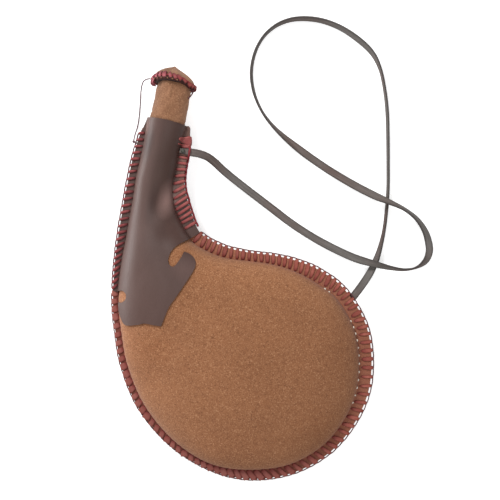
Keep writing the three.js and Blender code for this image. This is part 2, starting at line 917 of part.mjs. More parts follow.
addMesh(seamGroup, 'front_panel', suedePanel(1), suedeFinish);
addMesh(seamGroup, 'back_panel', suedePanel(-1), suedeFinish);
addMesh(seamGroup, 'inner_bladder', bladder(), bladderFinish);
addMesh(seamGroup, 'neck_tube', neckTube(), woodFinish);
addMesh(seamGroup, 'collar_front', collarSheet(1), collarFinish);
addMesh(seamGroup, 'collar_back', collarSheet(-1), collarFinish);
addMesh(seamGroup, 'body_lace', lacing(bodyLacing, 0), laceFinish);
const collarCover = clearance + collarThickness;
addMesh(seamGroup, 'collar_lace_left', lacing(leftLacing, collarCover), laceFinish);
addMesh(seamGroup, 'collar_lace_right', lacing(rightLacing, collarCover), laceFinish);
addMesh(seamGroup, 'collar_knot', collarKnot(), laceFinish);
addMesh(flask, 'strap', strap(), strapFinish);
addMesh(flask, 'strap_stud', strapStud(), strapFinish);
addMesh(flask, 'strap_knot', knot(...strapKnot), strapFinish);
addMesh(flask, 'tether', tether(), laceFinish);
addMesh(flask, 'tether_knot', knot(...tetherKnot), laceFinish);
addMesh(seamGroup, 'stopper_core', stopperCore(), woodFinish);
addMesh(seamGroup, 'stopper_sleeve', stopperSleeve(), suedeFinish);
addMesh(seamGroup, 'stopper_disc', lidDisc(), suedeFinish);
addMesh(seamGroup, 'stopper_cap', lidCap(), suedeFinish);
addMesh(seamGroup, 'stopper_rim_lace', rimLace(), laceFinish);
addMesh(seamGroup, 'rim_lace_tail', laceTail(), laceFinish);

// The frame's origin is under the middle of the flask; the free cords don't count for it
const freeCords = ['strap', 'tether'];
const extent = new THREE.Box3();
flask.updateMatrixWorld(true);
flask.traverse((piece) => {
  if (piece.isMesh && !freeCords.includes(piece.name)) extent.expandByObject(piece);
});
const centre = extent.getCenter(new THREE.Vector3());
flask.position.set(-centre.x, -centre.y, -extent.min.z);

export default flask;
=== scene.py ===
import math

import bmesh
import bpy
import numpy as np
from mathutils import Matrix, Vector
from mathutils.bvhtree import BVHTree


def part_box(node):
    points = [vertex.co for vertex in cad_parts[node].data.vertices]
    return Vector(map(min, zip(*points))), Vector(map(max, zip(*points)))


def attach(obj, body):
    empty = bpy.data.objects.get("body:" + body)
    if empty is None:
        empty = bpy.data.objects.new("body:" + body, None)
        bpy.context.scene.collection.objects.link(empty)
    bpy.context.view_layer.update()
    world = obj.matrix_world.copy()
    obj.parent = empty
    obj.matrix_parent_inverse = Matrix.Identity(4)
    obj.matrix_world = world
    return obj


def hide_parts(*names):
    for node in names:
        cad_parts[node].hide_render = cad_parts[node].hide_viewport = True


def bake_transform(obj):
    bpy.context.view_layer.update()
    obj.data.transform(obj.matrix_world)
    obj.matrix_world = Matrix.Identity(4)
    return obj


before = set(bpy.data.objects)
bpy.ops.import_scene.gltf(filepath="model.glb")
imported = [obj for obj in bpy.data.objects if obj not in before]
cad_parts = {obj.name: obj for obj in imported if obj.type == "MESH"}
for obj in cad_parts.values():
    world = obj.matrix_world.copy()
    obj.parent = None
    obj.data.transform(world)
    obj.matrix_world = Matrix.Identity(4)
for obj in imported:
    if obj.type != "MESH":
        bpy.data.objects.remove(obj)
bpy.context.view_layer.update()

# The leather water bag lies on its back, front up, its neck along +Y.
# Patterns are drawn in millimetres: x and y from the centre of the mouth, z from the seam plane.
MM = 0.001

tube_low, tube_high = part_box("neck_tube")
MOUTH_RECESS = 1.2
MOUTH = np.array([
    (tube_low[0] + tube_high[0]) / 2,
    tube_high[1] + MOUTH_RECESS * MM,
    (tube_low[2] + tube_high[2]) / 2,
])
SEAM_HEIGHT = MOUTH[2] / MM

# Camera: straight above, rolled so that the neck leans to the left as in the photograph
CAMERA_HEIGHT = 1000.0
CAMERA_OVER = (107.3, -108.4)
CAMERA_ROLL = math.radians(11.9)
VIEW_WIDTH = 500.0

# Leather
SUEDE_THICKNESS = 1.4
COLLAR_THICKNESS = 1.4
COLLAR_GAP = 0.3
FLANGE_TOP = 1.55
NECK_ROUNDNESS = 2.0
BELLY_ROUNDNESS = 2.3
BELLY_FROM = 8

# The leather's edge in plan: x, y and the width of the flat flange there, from the mouth down each side
LEFT_SIDE = [
    (-21.5, 0, 2.9), (-24.2, -22, 7.3), (-26, -44, 9.2), (-26, -62, 8.9), (-25.8, -83, 10),
    (-25, -104, 9.9), (-24, -125, 9.5), (-22.3, -146, 8.2), (-19.3, -168, 6.8),
    (-15.3, -190, 5.6), (-8.5, -213, 6),
]
RIGHT_SIDE = [
    (23.5, 0, 4.9), (26.8, -22, 10.1), (27.2, -44, 10.4), (30.4, -61, 13.4), (38.2, -77, 15.6),
    (52, -99, 12.4), (66, -106.8, 11.4), (85, -110.8, 10.4), (107, -111, 8.6), (130, -109, 9),
    (154, -109.3, 10.5),
]
BELLY = [
    (6, -249, 6.2), (32, -287, 6.8), (70, -316, 6.2), (112, -331, 6), (154, -332, 9.3),
    (195.8, -316.8, 9.3), (229, -287, 10), (248, -247, 11.2), (251.5, -207, 12.4),
    (238.5, -162, 12.5), (210, -129.2, 12), (181, -114.4, 12.8),
]
MIDDLE_LINE = [
    (0, 0, 18.6), (0, -22, 16.9), (0, -44, 16.7), (0.2, -61, 17), (4.5, -84, 18.6), (15, -106, 21.5),
    (28, -128, 25.5), (44, -149, 29.5), (63, -170, 33), (88, -194, 35.5), (118, -218, 36.5),
]
BACK_DEPTHS = [18.6, 16.9, 16.7, 17, 18.2, 19.3, 20.3, 21.1, 21.6, 22.4, 31]

# The collar's lower edge, cut as a scroll
COLLAR_NOTCH = [(-12.5, -175), (-7.5, -173.6), (-2.9, -176.3), (-2.5, -181.2), (-6, -185.2), (-10, -186)]
COLLAR_FOOT = [
    (-9.6, -187.8), (-7.6, -194.2), (-3.6, -201), (2.6, -206), (14.9, -202.6), (21.3, -199.6),
    (31.2, -199.1), (38.1, -198.6),
]
COLLAR_SCROLL = [
    (39.1, -193.9), (41.9, -179), (46.8, -167.5), (53.9, -149.7), (57.7, -139.4), (58.3, -132.7),
    (55.6, -127.2), (49.8, -124), (44.8, -123.2),
]
COLLAR_CURL = [
    (43.3, -128.9), (39.9, -137), (37.1, -139.8), (33.6, -138.4), (31.5, -134.6), (32, -127),
    (36, -119.6), (43.5, -112.6), (53, -103.6),
]
MOUTH_CORNERS = [
    (60, -5), (24.6, -4.2), (24.2, -2.2), (23, -0.6), (20.8, 0.8), (17.5, 3), (-18.6, 3), (-19.4, 0.5),
    (-21.6, -9), (-22.4, -13), (-60, -14),
]
COLLAR_EDGE_LEFT = -176.5
COLLAR_EDGE_RIGHT = -96
CUTTER_REACH = 60

# Lacing: first and last stitch as places on the outline, and the steps between stitches by place
LACE_THICKNESS = 0.95
LEFT_LACING = {"first": 0.78, "last": 8.32, "steps": [(0.6, 6.8), (5.5, 6.8), (6.5, 6.0)]}
RIGHT_LACING = {"first": 28.3, "last": 32.14, "steps": [(0, 5.55)]}
BODY_LACING = {
    "first": 8.5,
    "last": 27.85,
    "steps": [(8.6, 8), (12, 8), (14.5, 7.3), (17.5, 9), (19.5, 8.6), (21.5, 6.2), (28, 5.9)],
}
# How far a stitch's inner end leans along the edge, as a share of its reach inward, by place
STITCH_LEANS = [
    (0, -0.38), (5.5, -0.42), (7, -0.8), (8.4, -0.9), (8.5, -0.2), (11, -0.25), (13, -0.5), (14, -0.75),
    (15.5, -0.7), (17, -0.35), (18.5, -0.25), (19.5, 0.05), (20.2, 0.12), (21, -0.08), (24, -0.12),
    (28, -0.1), (29.3, -0.35), (30, -0.4), (31, -0.12), (33, -0.05),
]

# Stopper
STOPPER_RADIUS = 17.7
STOPPER_TOP_RADIUS = 17.0
STOPPER_HEIGHT = 36.0
LID_RADIUS = 21.6
LID_SHIFT = 1.5
LID_FOOT = 36.3
LID_THICKNESS = 1.5
CAP_FOOT = 38.1
CAP_HEIGHT = 17.8
RIM_STITCHES = 26

# How fine the leather's grid is: steps to one place down the sides and round the belly, and steps over the
# flange and up the dome
SIDE_STEPS = 14
BELLY_STEPS = 26
FLANGE_STEPS = 5
DOME_STEPS = 26


def in_frame(points):
    """Points in millimetres from the mouth's centre, as metres in the frame."""
    return np.asarray(points, dtype=float) * MM + MOUTH


# Curves through listed points

class Through:
    """A smooth curve through points; whole numbers are the points themselves."""

    def __init__(self, points):
        given = np.asarray(points, dtype=float)
        if given.ndim == 1:
            given = given[:, None]
        before = 2 * given[0] - given[1]
        after = 2 * given[-1] - given[-2]
        self.count = len(given)
        self.points = np.vstack([before, given, after])

    def __call__(self, places):
        places = np.clip(np.atleast_1d(np.asarray(places, dtype=float)), 0, self.count - 1)
        whole = np.minimum(places.astype(int), self.count - 2)
        part = (places - whole)[:, None]
        a, b, c, d = (self.points[whole + n] for n in range(4))
        start = 0.5 * (c - a)
        end = 0.5 * (d - b)
        return (
            (2 * part**3 - 3 * part**2 + 1) * b
            + (part**3 - 2 * part**2 + part) * start
            + (-2 * part**3 + 3 * part**2) * c
            + (part**3 - part**2) * end
        )


outline = Through(LEFT_SIDE + BELLY + RIGHT_SIDE[::-1])
middle = Through(MIDDLE_LINE)
back_depth = Through(BACK_DEPTHS)
LAST_PLACE = len(LEFT_SIDE + BELLY + RIGHT_SIDE) - 1
SIDE_PLACES = len(LEFT_SIDE) - 1
PLACE_STEP = 0.02


def unit(vectors):
    return vectors / np.linalg.norm(vectors, axis=1)[:, None]


def by_place(listed, places):
    """Values at places, on straight lines between the listed pairs of place and value."""
    at, values = zip(*listed)
    return np.interp(places, at, values)


def edge_at(places):
    return outline(places)[:, :2]


def inward_at(places):
    """Unit directions in plan from the edge towards the bag's middle."""
    places = np.atleast_1d(np.asarray(places, dtype=float))
    along = unit(edge_at(places + PLACE_STEP) - edge_at(places - PLACE_STEP))
    return np.stack([-along[:, 1], along[:, 0]], axis=1)


def speed_at(place):
    """Millimetres of edge to one whole place."""
    low = max(place - PLACE_STEP, 0)
    high = min(place + PLACE_STEP, LAST_PLACE)
    return float(np.linalg.norm(edge_at(high) - edge_at(low))) / (high - low)


def stitch_places(lacing):
    places = []
    place = lacing["first"]
    while place <= lacing["last"]:
        places.append(place)
        place += by_place(lacing["steps"], place) / speed_at(place)
    return np.array(places)


def face_grid(places, inwards, side):
    """The suede's outer face as rows of points, from the edge over the flange to the middle."""
    places = np.asarray(places, dtype=float)
    edge = outline(places)
    root = edge[:, :2] + inward_at(places) * edge[:, 2:3]
    row = np.minimum(np.minimum(places, LAST_PLACE - places), SIDE_PLACES)
    centre = middle(row)
    height = centre[:, 2] if side > 0 else back_depth(row)[:, 0]
    roundness = np.interp(row, [0, BELLY_FROM], [NECK_ROUNDNESS, BELLY_ROUNDNESS])
    columns = []
    for part in np.linspace(0, 1, FLANGE_STEPS + 1)[:-1]:
        flat = edge[:, :2] * (1 - part) + root * part
        columns.append(np.column_stack([flat, np.full(len(places), side * FLANGE_TOP)]))
    for inward in inwards:
        plan = root * (1 - inward) + centre[:, :2] * inward
        rise = np.sqrt(np.maximum(1 - (1 - inward) ** roundness, 0))
        z = side * (FLANGE_TOP + (height - FLANGE_TOP) * rise)
        columns.append(np.column_stack([plan, z]))
    grid = np.stack(columns, axis=1)
    grid[:, :, 2] = np.maximum(grid[:, :, 2], -SEAM_HEIGHT)
    return grid


# Meshes

MERGE_DISTANCE = 2e-6


def new_object(name, mesh, material=None):
    obj = bpy.data.objects.new(name, mesh)
    bpy.context.scene.collection.objects.link(obj)
    if material is not None:
        mesh.materials.append(material)
    return obj


def mesh_object(name, points, faces, material=None, smooth=True):
    """An object of points in metres in the frame, and of faces over them."""
    mesh = bpy.data.meshes.new(name)
    mesh.from_pydata([tuple(p) for p in points], [], [tuple(f) for f in faces])
    mesh.update()
    obj = new_object(name, mesh, material)
    if smooth:
        mesh.shade_smooth()
    return obj


def tidy_mesh(obj, outward=True):
    """Merge doubled points, and turn all faces outward if asked."""
    work = bmesh.new()
    work.from_mesh(obj.data)
    bmesh.ops.remove_doubles(work, verts=work.verts, dist=MERGE_DISTANCE)
    bmesh.ops.dissolve_degenerate(work, edges=work.edges, dist=MERGE_DISTANCE)
    if outward:
        bmesh.ops.recalc_face_normals(work, faces=work.faces)
    work.to_mesh(obj.data)
    work.free()
    obj.data.update()


def bake_modifiers(obj):
    """Turn an object's modifiers into its plain mesh."""
    depsgraph = bpy.context.evaluated_depsgraph_get()
    depsgraph.update()
    made = bpy.data.meshes.new_from_object(obj.evaluated_get(depsgraph), depsgraph=depsgraph)
    made.name = obj.name
    obj.modifiers.clear()
    obj.data = made


def paint(obj, material):
    obj.data.materials.clear()
    obj.data.materials.append(material)


def finished(obj, node, body):
    """Say which node a piece replaces and which body it rides on."""
    if node:
        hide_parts(node)
    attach(obj, body)


def grid_faces(rows, columns, round_rows=False, round_columns=False):
    """Four-sided faces over a grid of points, closed where its rows or columns go round."""
    faces = []
    for row in range(rows if round_rows else rows - 1):
        start = row * columns
        next_start = (row + 1) % rows * columns
        for column in range(columns if round_columns else columns - 1):
            after = (column + 1) % columns
            faces.append((start + column, start + after, next_start + after, next_start + column))
    return faces


def add_uv(obj, corner_uv):
    layer = obj.data.uv_layers.new(name="UVMap")
    layer.data.foreach_set("uv", np.asarray(corner_uv, dtype=np.float32).ravel())


def tube(name, centres, across, normals, section, material, uv_length=1.0):
    """A section swept along centres: section is a list of (x, y) over across and normal, in metres."""
    centres, across, normals = (np.asarray(a, dtype=float) for a in (centres, across, normals))
    section = np.asarray(section, dtype=float)
    if section.ndim == 2:
        section = np.repeat(section[None], len(centres), axis=0)
    count = section.shape[1]
    points = (
        centres[:, None]
        + across[:, None] * section[:, :, 0:1]
        + normals[:, None] * section[:, :, 1:2]
    ).reshape(-1, 3)
    faces = grid_faces(len(centres), count, round_columns=True)
    faces.append(tuple(range(count))[::-1])
    faces.append(tuple(range(len(points) - count, len(points))))
    middle_section = section[len(section) // 2, :, 0]
    u_across = 0.5 + 0.5 * middle_section / np.abs(middle_section).max()
    lengths = uv_length * np.concatenate([[0], np.cumsum(np.linalg.norm(np.diff(centres, axis=0), axis=1))])
    obj = mesh_object(name, points, faces, material)
    add_uv(obj, [(u_across[n % count], lengths[n // count]) for face in faces for n in face])
    return obj


def level_frame(centres, rolls):
    """Across and normal directions along a path, turned about it by rolls in radians."""
    along = unit(np.gradient(centres, axis=0))
    level = unit(np.cross(np.array([0, 0, 1.0]), along))
    up = np.cross(along, level)
    across = level * np.cos(rolls)[:, None] + up * np.sin(rolls)[:, None]
    return across, np.cross(along, across)


# Materials

def colour(red, green, blue):
    """A colour given as it looks on screen, 0 to 255."""
    def plain(value):
        value /= 255
        return value / 12.92 if value <= 0.04045 else ((value + 0.055) / 1.055) ** 2.4
    return (plain(red), plain(green), plain(blue), 1.0)


class Nodes:
    """Short calls to lay out and join nodes in a tree."""

    def __init__(self, tree):
        self.tree = tree

    def add(self, kind, values=None, **settings):
        """A new node with its settings, and a value or a link for each input that is named."""
        node = self.tree.nodes.new(kind)
        for name, value in settings.items():
            setattr(node, name, value)
        for socket, value in (values or {}).items():
            self.put(node.inputs[socket], value)
        return node

    def put(self, socket, value):
        if isinstance(value, bpy.types.NodeSocket):
            self.tree.links.new(value, socket)
        else:
            socket.default_value = value

    def noise(self, vector, scale, detail=2.0, roughness=0.5, distortion=0.0):
        return self.add("ShaderNodeTexNoise", {
            "Vector": vector, "Scale": scale, "Detail": detail, "Roughness": roughness,
            "Distortion": distortion,
        }).outputs["Fac"]

    def spread(self, value, low, high, to_low=0.0, to_high=1.0):
        """A value's range from low to high spread over another range, and held at its ends."""
        return self.add("ShaderNodeMapRange", {
            "Value": value, "From Min": low, "From Max": high, "To Min": to_low, "To Max": to_high,
        }).outputs["Result"]

    def mix(self, factor, first, second, blend="MIX"):
        """Two colours mixed by a factor."""
        sockets = {0: factor, 6: first, 7: second}
        return self.add("ShaderNodeMix", sockets, data_type="RGBA", blend_type=blend).outputs[2]

    def multiply(self, first, second):
        return self.mix(1.0, first, second, blend="MULTIPLY")

    def mix_shader(self, factor, first, second):
        node = self.add("ShaderNodeMixShader", {0: factor, 1: first, 2: second})
        return node.outputs[0]

    def maths(self, operation, first, second):
        return self.add("ShaderNodeMath", {0: first, 1: second}, operation=operation).outputs[0]

    def from_middle(self, value):
        """How far a value lies from one half."""
        return self.maths("ABSOLUTE", self.maths("SUBTRACT", value, 0.5), 0.0)

    def stored(self, name):
        return self.add("ShaderNodeAttribute", attribute_name=name).outputs["Fac"]

    def uv(self):
        return self.add("ShaderNodeUVMap", uv_map="UVMap").outputs["UV"]

    def split(self, vector):
        return self.add("ShaderNodeSeparateXYZ", {"Vector": vector}).outputs

    def group(self, tree, values):
        node = self.add("ShaderNodeGroup")
        node.node_tree = tree
        for socket, value in values.items():
            self.put(node.inputs[socket], value)
        return node


def new_tree(name, kind, inputs, outputs):
    """A node tree with the named and typed sockets, with its nodes and both its ends."""
    tree = bpy.data.node_groups.new(name, kind)
    for in_out, sockets in (("INPUT", inputs), ("OUTPUT", outputs)):
        for socket, of_type in sockets:
            tree.interface.new_socket(socket, in_out=in_out, socket_type="NodeSocket" + of_type)
    nodes = Nodes(tree)
    return tree, nodes, nodes.add("NodeGroupInput").outputs, nodes.add("NodeGroupOutput").inputs


SHADES = [("Vector", "Vector"), ("Base", "Color"), ("Light", "Color"), ("Dark", "Color")]


def make_nap_group():
    """Brushed suede: a base colour with broad patches, and light and dark flecks of fibre."""
    tree, n, given, out = new_tree(
        "Suede nap", "ShaderNodeTree", SHADES + [("Fleck scale", "Float"), ("Patch scale", "Float")],
        [("Colour", "Color"), ("Height", "Float")],
    )
    patches = n.noise(given["Vector"], given["Patch scale"], detail=3.0, roughness=0.55)
    flecks = n.noise(given["Vector"], given["Fleck scale"], detail=2.5, roughness=0.65)
    coarse_scale = n.maths("MULTIPLY", given["Fleck scale"], 0.31)
    coarse = n.noise(given["Vector"], coarse_scale, detail=2.0, roughness=0.6)
    darker = n.mix(n.spread(patches, 0.35, 0.7, 0.0, 0.3), given["Base"], given["Dark"])
    clouded = n.mix(n.spread(coarse, 0.54, 0.75, 0.0, 0.2), darker, given["Light"])
    shaded = n.mix(n.spread(coarse, 0.46, 0.28, 0.0, 0.38), clouded, given["Dark"])
    dotted = n.mix(n.spread(flecks, 0.55, 0.68, 0.0, 0.8), shaded, given["Light"])
    n.put(out["Colour"], n.mix(n.spread(flecks, 0.46, 0.33, 0.0, 0.9), dotted, given["Dark"]))
    n.put(out["Height"], n.maths("ADD", flecks, n.maths("MULTIPLY", coarse, 0.8)))
    return tree


def make_grain_group():
    """Smooth leather: fine cells, long soft creases and a slow change of tone."""
    tree, n, given, out = new_tree(
        "Leather grain", "ShaderNodeTree", SHADES + [("Cell scale", "Float"), ("Patch scale", "Float")],
        [("Colour", "Color"), ("Height", "Float"), ("Gloss", "Float")],
    )
    cells = n.add("ShaderNodeTexVoronoi", {
        "Vector": given["Vector"], "Scale": given["Cell scale"],
    }, feature="F1").outputs["Distance"]
    patches = n.noise(given["Vector"], given["Patch scale"], detail=4.0, roughness=0.6, distortion=0.4)
    fine = n.noise(given["Vector"], given["Cell scale"], detail=2.0)
    toned = n.mix(n.spread(patches, 0.5, 0.75, 0.0, 0.55), given["Base"], given["Light"])
    toned = n.mix(n.spread(patches, 0.5, 0.28, 0.0, 0.5), toned, given["Dark"])
    n.put(out["Colour"], n.mix(n.spread(fine, 0.35, 0.7, 0.0, 0.16), toned, given["Dark"]))
    n.put(out["Height"], n.maths("ADD", n.maths("MULTIPLY", cells, 0.5), n.maths("MULTIPLY", patches, 0.6)))
    n.put(out["Gloss"], n.spread(patches, 0.3, 0.7, 0.0, 1.0))
    return tree


def shader_of(material):
    return Nodes(material.node_tree), material.node_tree.nodes["Principled BSDF"]


def new_material(name, **constants):
    """A material whose Principled shader has its plain numbers set on its own sockets."""
    material = bpy.data.materials.new(name)
    material.use_nodes = True
    n, shader = shader_of(material)
    for socket, value in constants.items():
        shader.inputs[socket.replace("_", " ")].default_value = value
    return material, n, shader


def shades(base, light, dark):
    return {"Base": colour(*base), "Light": colour(*light), "Dark": colour(*dark)}


def bump(n, shader, height, strength, distance):
    node = n.add("ShaderNodeBump", {"Height": height, "Strength": strength, "Distance": distance})
    n.put(shader.inputs["Normal"], node.outputs["Normal"])


def object_vector(n, stretch=(1, 1, 1)):
    coordinates = n.add("ShaderNodeTexCoord").outputs["Object"]
    if stretch == (1, 1, 1):
        return coordinates
    return n.add("ShaderNodeMapping", {"Vector": coordinates, "Scale": stretch}).outputs["Vector"]


NAP = make_nap_group()
GRAIN = make_grain_group()
# Half the width of the painted light and shade across the stopper, in metres
TINT_REACH = 0.016


def suede_material(name, base, light, dark, fleck_scale):
    material, n, shader = new_material(
        name, Roughness=0.95, Specular_IOR_Level=0.15, Sheen_Weight=0.12, Sheen_Roughness=0.6,
    )
    nap = n.group(NAP, {
        "Vector": object_vector(n), **shades(base, light, dark),
        "Fleck scale": fleck_scale, "Patch scale": 16.0,
    })
    dyed = n.mix(n.spread(n.stored("dye"), 0, 1, 0, 0.62), nap.outputs["Colour"], colour(164, 102, 86))
    # Painted shade on the flange between the stitches, darkest in the crowded lacing at the lower left
    flange_shaded = n.mix(n.spread(n.stored("grime"), 0, 1, 0, 0.85), dyed, colour(112, 62, 53))
    n.put(shader.inputs["Base Color"], flange_shaded)
    bump(n, shader, nap.outputs["Height"], 0.55, 0.0006)
    return material


def paint_light_across(material, left, right):
    """Paint light and shade across the stopper: multiply a material's colour by a tint that goes from left to
    right over it.
    """
    n, shader = shader_of(material)
    before = shader.inputs["Base Color"].links[0].from_socket
    x = n.split(object_vector(n))["X"]
    low = float(MOUTH[0]) - TINT_REACH
    tint = n.mix(n.spread(x, low, low + 2 * TINT_REACH), left, right)
    n.put(shader.inputs["Base Color"], n.multiply(before, tint))


def leather_material(name, base, light, dark, roughness, patch_scale=22.0, stretch=(1, 1, 1), specular=0.5):
    material, n, shader = new_material(name, Specular_IOR_Level=specular)
    grain = n.group(GRAIN, {
        "Vector": object_vector(n, stretch), **shades(base, light, dark),
        "Cell scale": 900.0, "Patch scale": patch_scale,
    })
    n.put(shader.inputs["Base Color"], grain.outputs["Colour"])
    n.put(shader.inputs["Roughness"], n.spread(grain.outputs["Gloss"], 0, 1, *roughness))
    bump(n, shader, grain.outputs["Height"], 0.25, 0.0004)
    return material


def lace_material(name, base, light, dark, edge, fade=0.0, sides=(1.0, 1.0)):
    """Dyed lace: each stitch has its own tone, and all are darker at the edges and at the hole, as painted
    shade.
    Fade is how worn it is at the lower left, and sides is how much painted light and painted shade its two
    sides get."""
    material, n, shader = new_material(name, Roughness=0.62, Specular_IOR_Level=0.3)
    grain = n.group(GRAIN, {
        "Vector": object_vector(n), **shades(base, light, dark),
        "Cell scale": 1400.0, "Patch scale": 160.0,
    })
    slant = n.add("ShaderNodeVectorMath", {0: object_vector(n), 1: (1.0, 0.6, 0.0)}, operation="DOT_PRODUCT")
    where = slant.outputs["Value"]
    worn = n.mix(n.spread(where, 0.05, -0.09, 0.0, fade), grain.outputs["Colour"], colour(150, 92, 84))
    aged = n.mix(n.stored("tone"), worn, colour(*dark))
    uv = n.split(n.uv())
    # Painted light on one side of each stitch and painted shade on the other, as the sides say
    side_shade = n.spread(uv["X"], 0.15, 0.85, *sides)
    side_shade_grey = n.add("ShaderNodeCombineColor", {"Red": side_shade, "Green": side_shade, "Blue": side_shade})
    side_shaded = n.multiply(aged, side_shade_grey.outputs[0])
    # Painted shade along the lace's edges and where it goes down into its hole, in the edge colour
    edge_shaded = n.mix(n.spread(n.from_middle(uv["X"]), 0.25, 0.5, 0.0, 0.5), side_shaded, colour(*edge))
    hole_shaded = n.mix(n.spread(uv["Y"], 0.005, 0.0098, 0.0, 0.7), edge_shaded, colour(*edge))
    n.put(shader.inputs["Base Color"], hole_shaded)
    bump(n, shader, grain.outputs["Height"], 0.3, 0.0003)
    return material


def strap_material():
    """Worn flat strap: streaks run along it, and its edges are darker and its face is rubbed lighter."""
    material, n, shader = new_material("strap_leather", Roughness=0.78, Specular_IOR_Level=0.3)
    streaked = n.add("ShaderNodeMapping", {"Vector": n.uv(), "Scale": (5.0, 40.0, 1.0)}).outputs["Vector"]
    streaks = n.noise(streaked, 1.0, detail=4.0, roughness=0.65)
    slow = n.noise(object_vector(n), 9.0, detail=2.0)
    pores = n.noise(object_vector(n), 900.0, detail=2.0)
    base = n.mix(n.spread(slow, 0.44, 0.6), colour(120, 115, 111), colour(112, 94, 88))
    lit = n.mix(n.spread(streaks, 0.5, 0.75, 0.0, 0.6), base, colour(152, 146, 143))
    worn = n.mix(n.spread(streaks, 0.46, 0.28, 0.0, 0.55), lit, colour(86, 80, 77))
    from_middle = n.from_middle(n.split(n.uv())["X"])
    shaded = n.mix(n.spread(from_middle, 0.26, 0.5, 0.0, 0.75), worn, colour(64, 59, 57))
    pored = n.mix(n.spread(pores, 0.4, 0.65, 0.0, 0.18), shaded, colour(86, 78, 76))
    n.put(shader.inputs["Base Color"], pored)
    bump(n, shader, n.maths("ADD", streaks, n.maths("MULTIPLY", pores, 0.5)), 0.35, 0.0004)
    return material


SUEDE = suede_material("suede", (162, 109, 74), (198, 148, 110), (118, 76, 52), 820.0)
STOPPER_SUEDE = suede_material("stopper_suede", (146, 104, 78), (172, 130, 98), (120, 82, 60), 760.0)
# Painted shade on the stopper's left and painted light on its right
paint_light_across(STOPPER_SUEDE, (0.72, 0.71, 0.68, 1), (1.55, 1.55, 1.5, 1))
COLLAR = leather_material(
    "collar_leather", (87, 64, 58), (100, 78, 73), (72, 51, 46), (0.42, 0.54),
    patch_scale=18.0, stretch=(1, 0.4, 1), specular=0.42,
)

# Painted light and painted shade on the collar, as tints of soft round places: x, y in plan, half-width,
# half-length, tint
COLLAR_PAINTED_LIGHT = [
    (17.5, -76, 7.5, 15, (2.8, 3.1, 3.3)), (4, -84, 4.5, 17, (0.72, 0.7, 0.7)),
    (8, -42, 11, 26, (0.8, 0.78, 0.74)), (-18.2, -9, 2.6, 8, (1.6, 1.6, 1.6)),
    (-12, -27, 4.5, 15, (0.55, 0.54, 0.54)), (49.4, -139, 14, 10, (1.2, 1.16, 1.16)),
    (23, -12, 3.5, 14, (2.2, 2.1, 1.95)), (23.5, -34, 4, 16, (2.7, 2.4, 2.2)),
    (29, -60, 4.5, 14, (2.5, 2.2, 2.1)), (37, -102, 12, 12, (1.2, 1.2, 1.2)),
]
# The same for the suede: painted light at its top and foot, and painted shade at its sides
SUEDE_PAINTED_LIGHT = [
    (109.8, -120.1, 62, 26, (1.16, 1.16, 1.14)), (139.2, -308.1, 60, 24, (1.1, 1.08, 1.06)),
    (23.4, -243.6, 22, 45, (0.93, 0.9, 0.86)), (226.7, -180.3, 26, 45, (0.9, 0.87, 0.84)),
    (218.8, -274, 30, 26, (0.9, 0.86, 0.82)), (36.9, -220.3, 16, 20, (0.95, 0.92, 0.88)),
]


def add_painted_light(material, places):
    """Paint light and shade as tints on soft round places of a material, given in plan in millimetres from
    the mouth.
    """
    n, shader = shader_of(material)
    shade = shader.inputs["Base Color"].links[0].from_socket
    for x, y, wide, long, tint in places:
        centre = in_frame((x, y, 0))
        near = n.add("ShaderNodeMapping", {
            "Vector": object_vector(n), "Location": (-centre[0] / wide / MM, -centre[1] / long / MM, 0.0),
            "Scale": (1 / wide / MM, 1 / long / MM, 0.0),
        }).outputs["Vector"]
        away = n.add("ShaderNodeVectorMath", {0: near}, operation="LENGTH").outputs["Value"]
        shade = n.mix(n.spread(away, 1.5, 0.2), shade, n.multiply(shade, (*tint, 1)))
    n.put(shader.inputs["Base Color"], shade)


add_painted_light(COLLAR, COLLAR_PAINTED_LIGHT)
add_painted_light(SUEDE, SUEDE_PAINTED_LIGHT)
# Dark leather of the collar's cut edge, also used as painted shade on the lid's disc under the rim
CUT_EDGE_AND_SHADE = leather_material("collar_cut_edge", (66, 46, 42), (88, 66, 60), (46, 32, 29), (0.7, 0.85))
# The last colour of each lace is its painted shade at its edges and at its hole; sides give its two sides
# painted light and painted shade
LACE = lace_material("red_lace", (168, 90, 76), (202, 130, 112), (130, 60, 50), (112, 38, 36), fade=0.75)
LEFT_LACE = lace_material(
    "left_collar_lace", (150, 68, 68), (190, 112, 108), (108, 42, 46), (78, 28, 32), sides=(0.45, 1.25),
)
COLLAR_LACE = lace_material(
    "collar_lace", (180, 96, 92), (212, 140, 134), (142, 64, 64), (112, 50, 50), sides=(1.15, 0.75),
)
EDGE_LACE = lace_material("edge_lace", (98, 54, 58), (130, 84, 86), (70, 36, 42), (66, 34, 40))
COLLAR_RUN = lace_material("collar_run", (150, 56, 62), (176, 84, 88), (112, 36, 44), (96, 30, 38))
RIM_LACE = lace_material("rim_lace", (172, 84, 82), (214, 138, 132), (118, 46, 50), (86, 30, 36))
# Painted light on the rim lace: paler and pinker on its lit left, warmer on its right
paint_light_across(RIM_LACE, (1.0, 1.1, 1.35, 1), (1.15, 1.0, 0.85, 1))
STRAP = strap_material()
TETHER_LACE = leather_material(
    "tether_lace", (104, 76, 82), (134, 104, 110), (72, 50, 56), (0.6, 0.75), patch_scale=60.0,
)
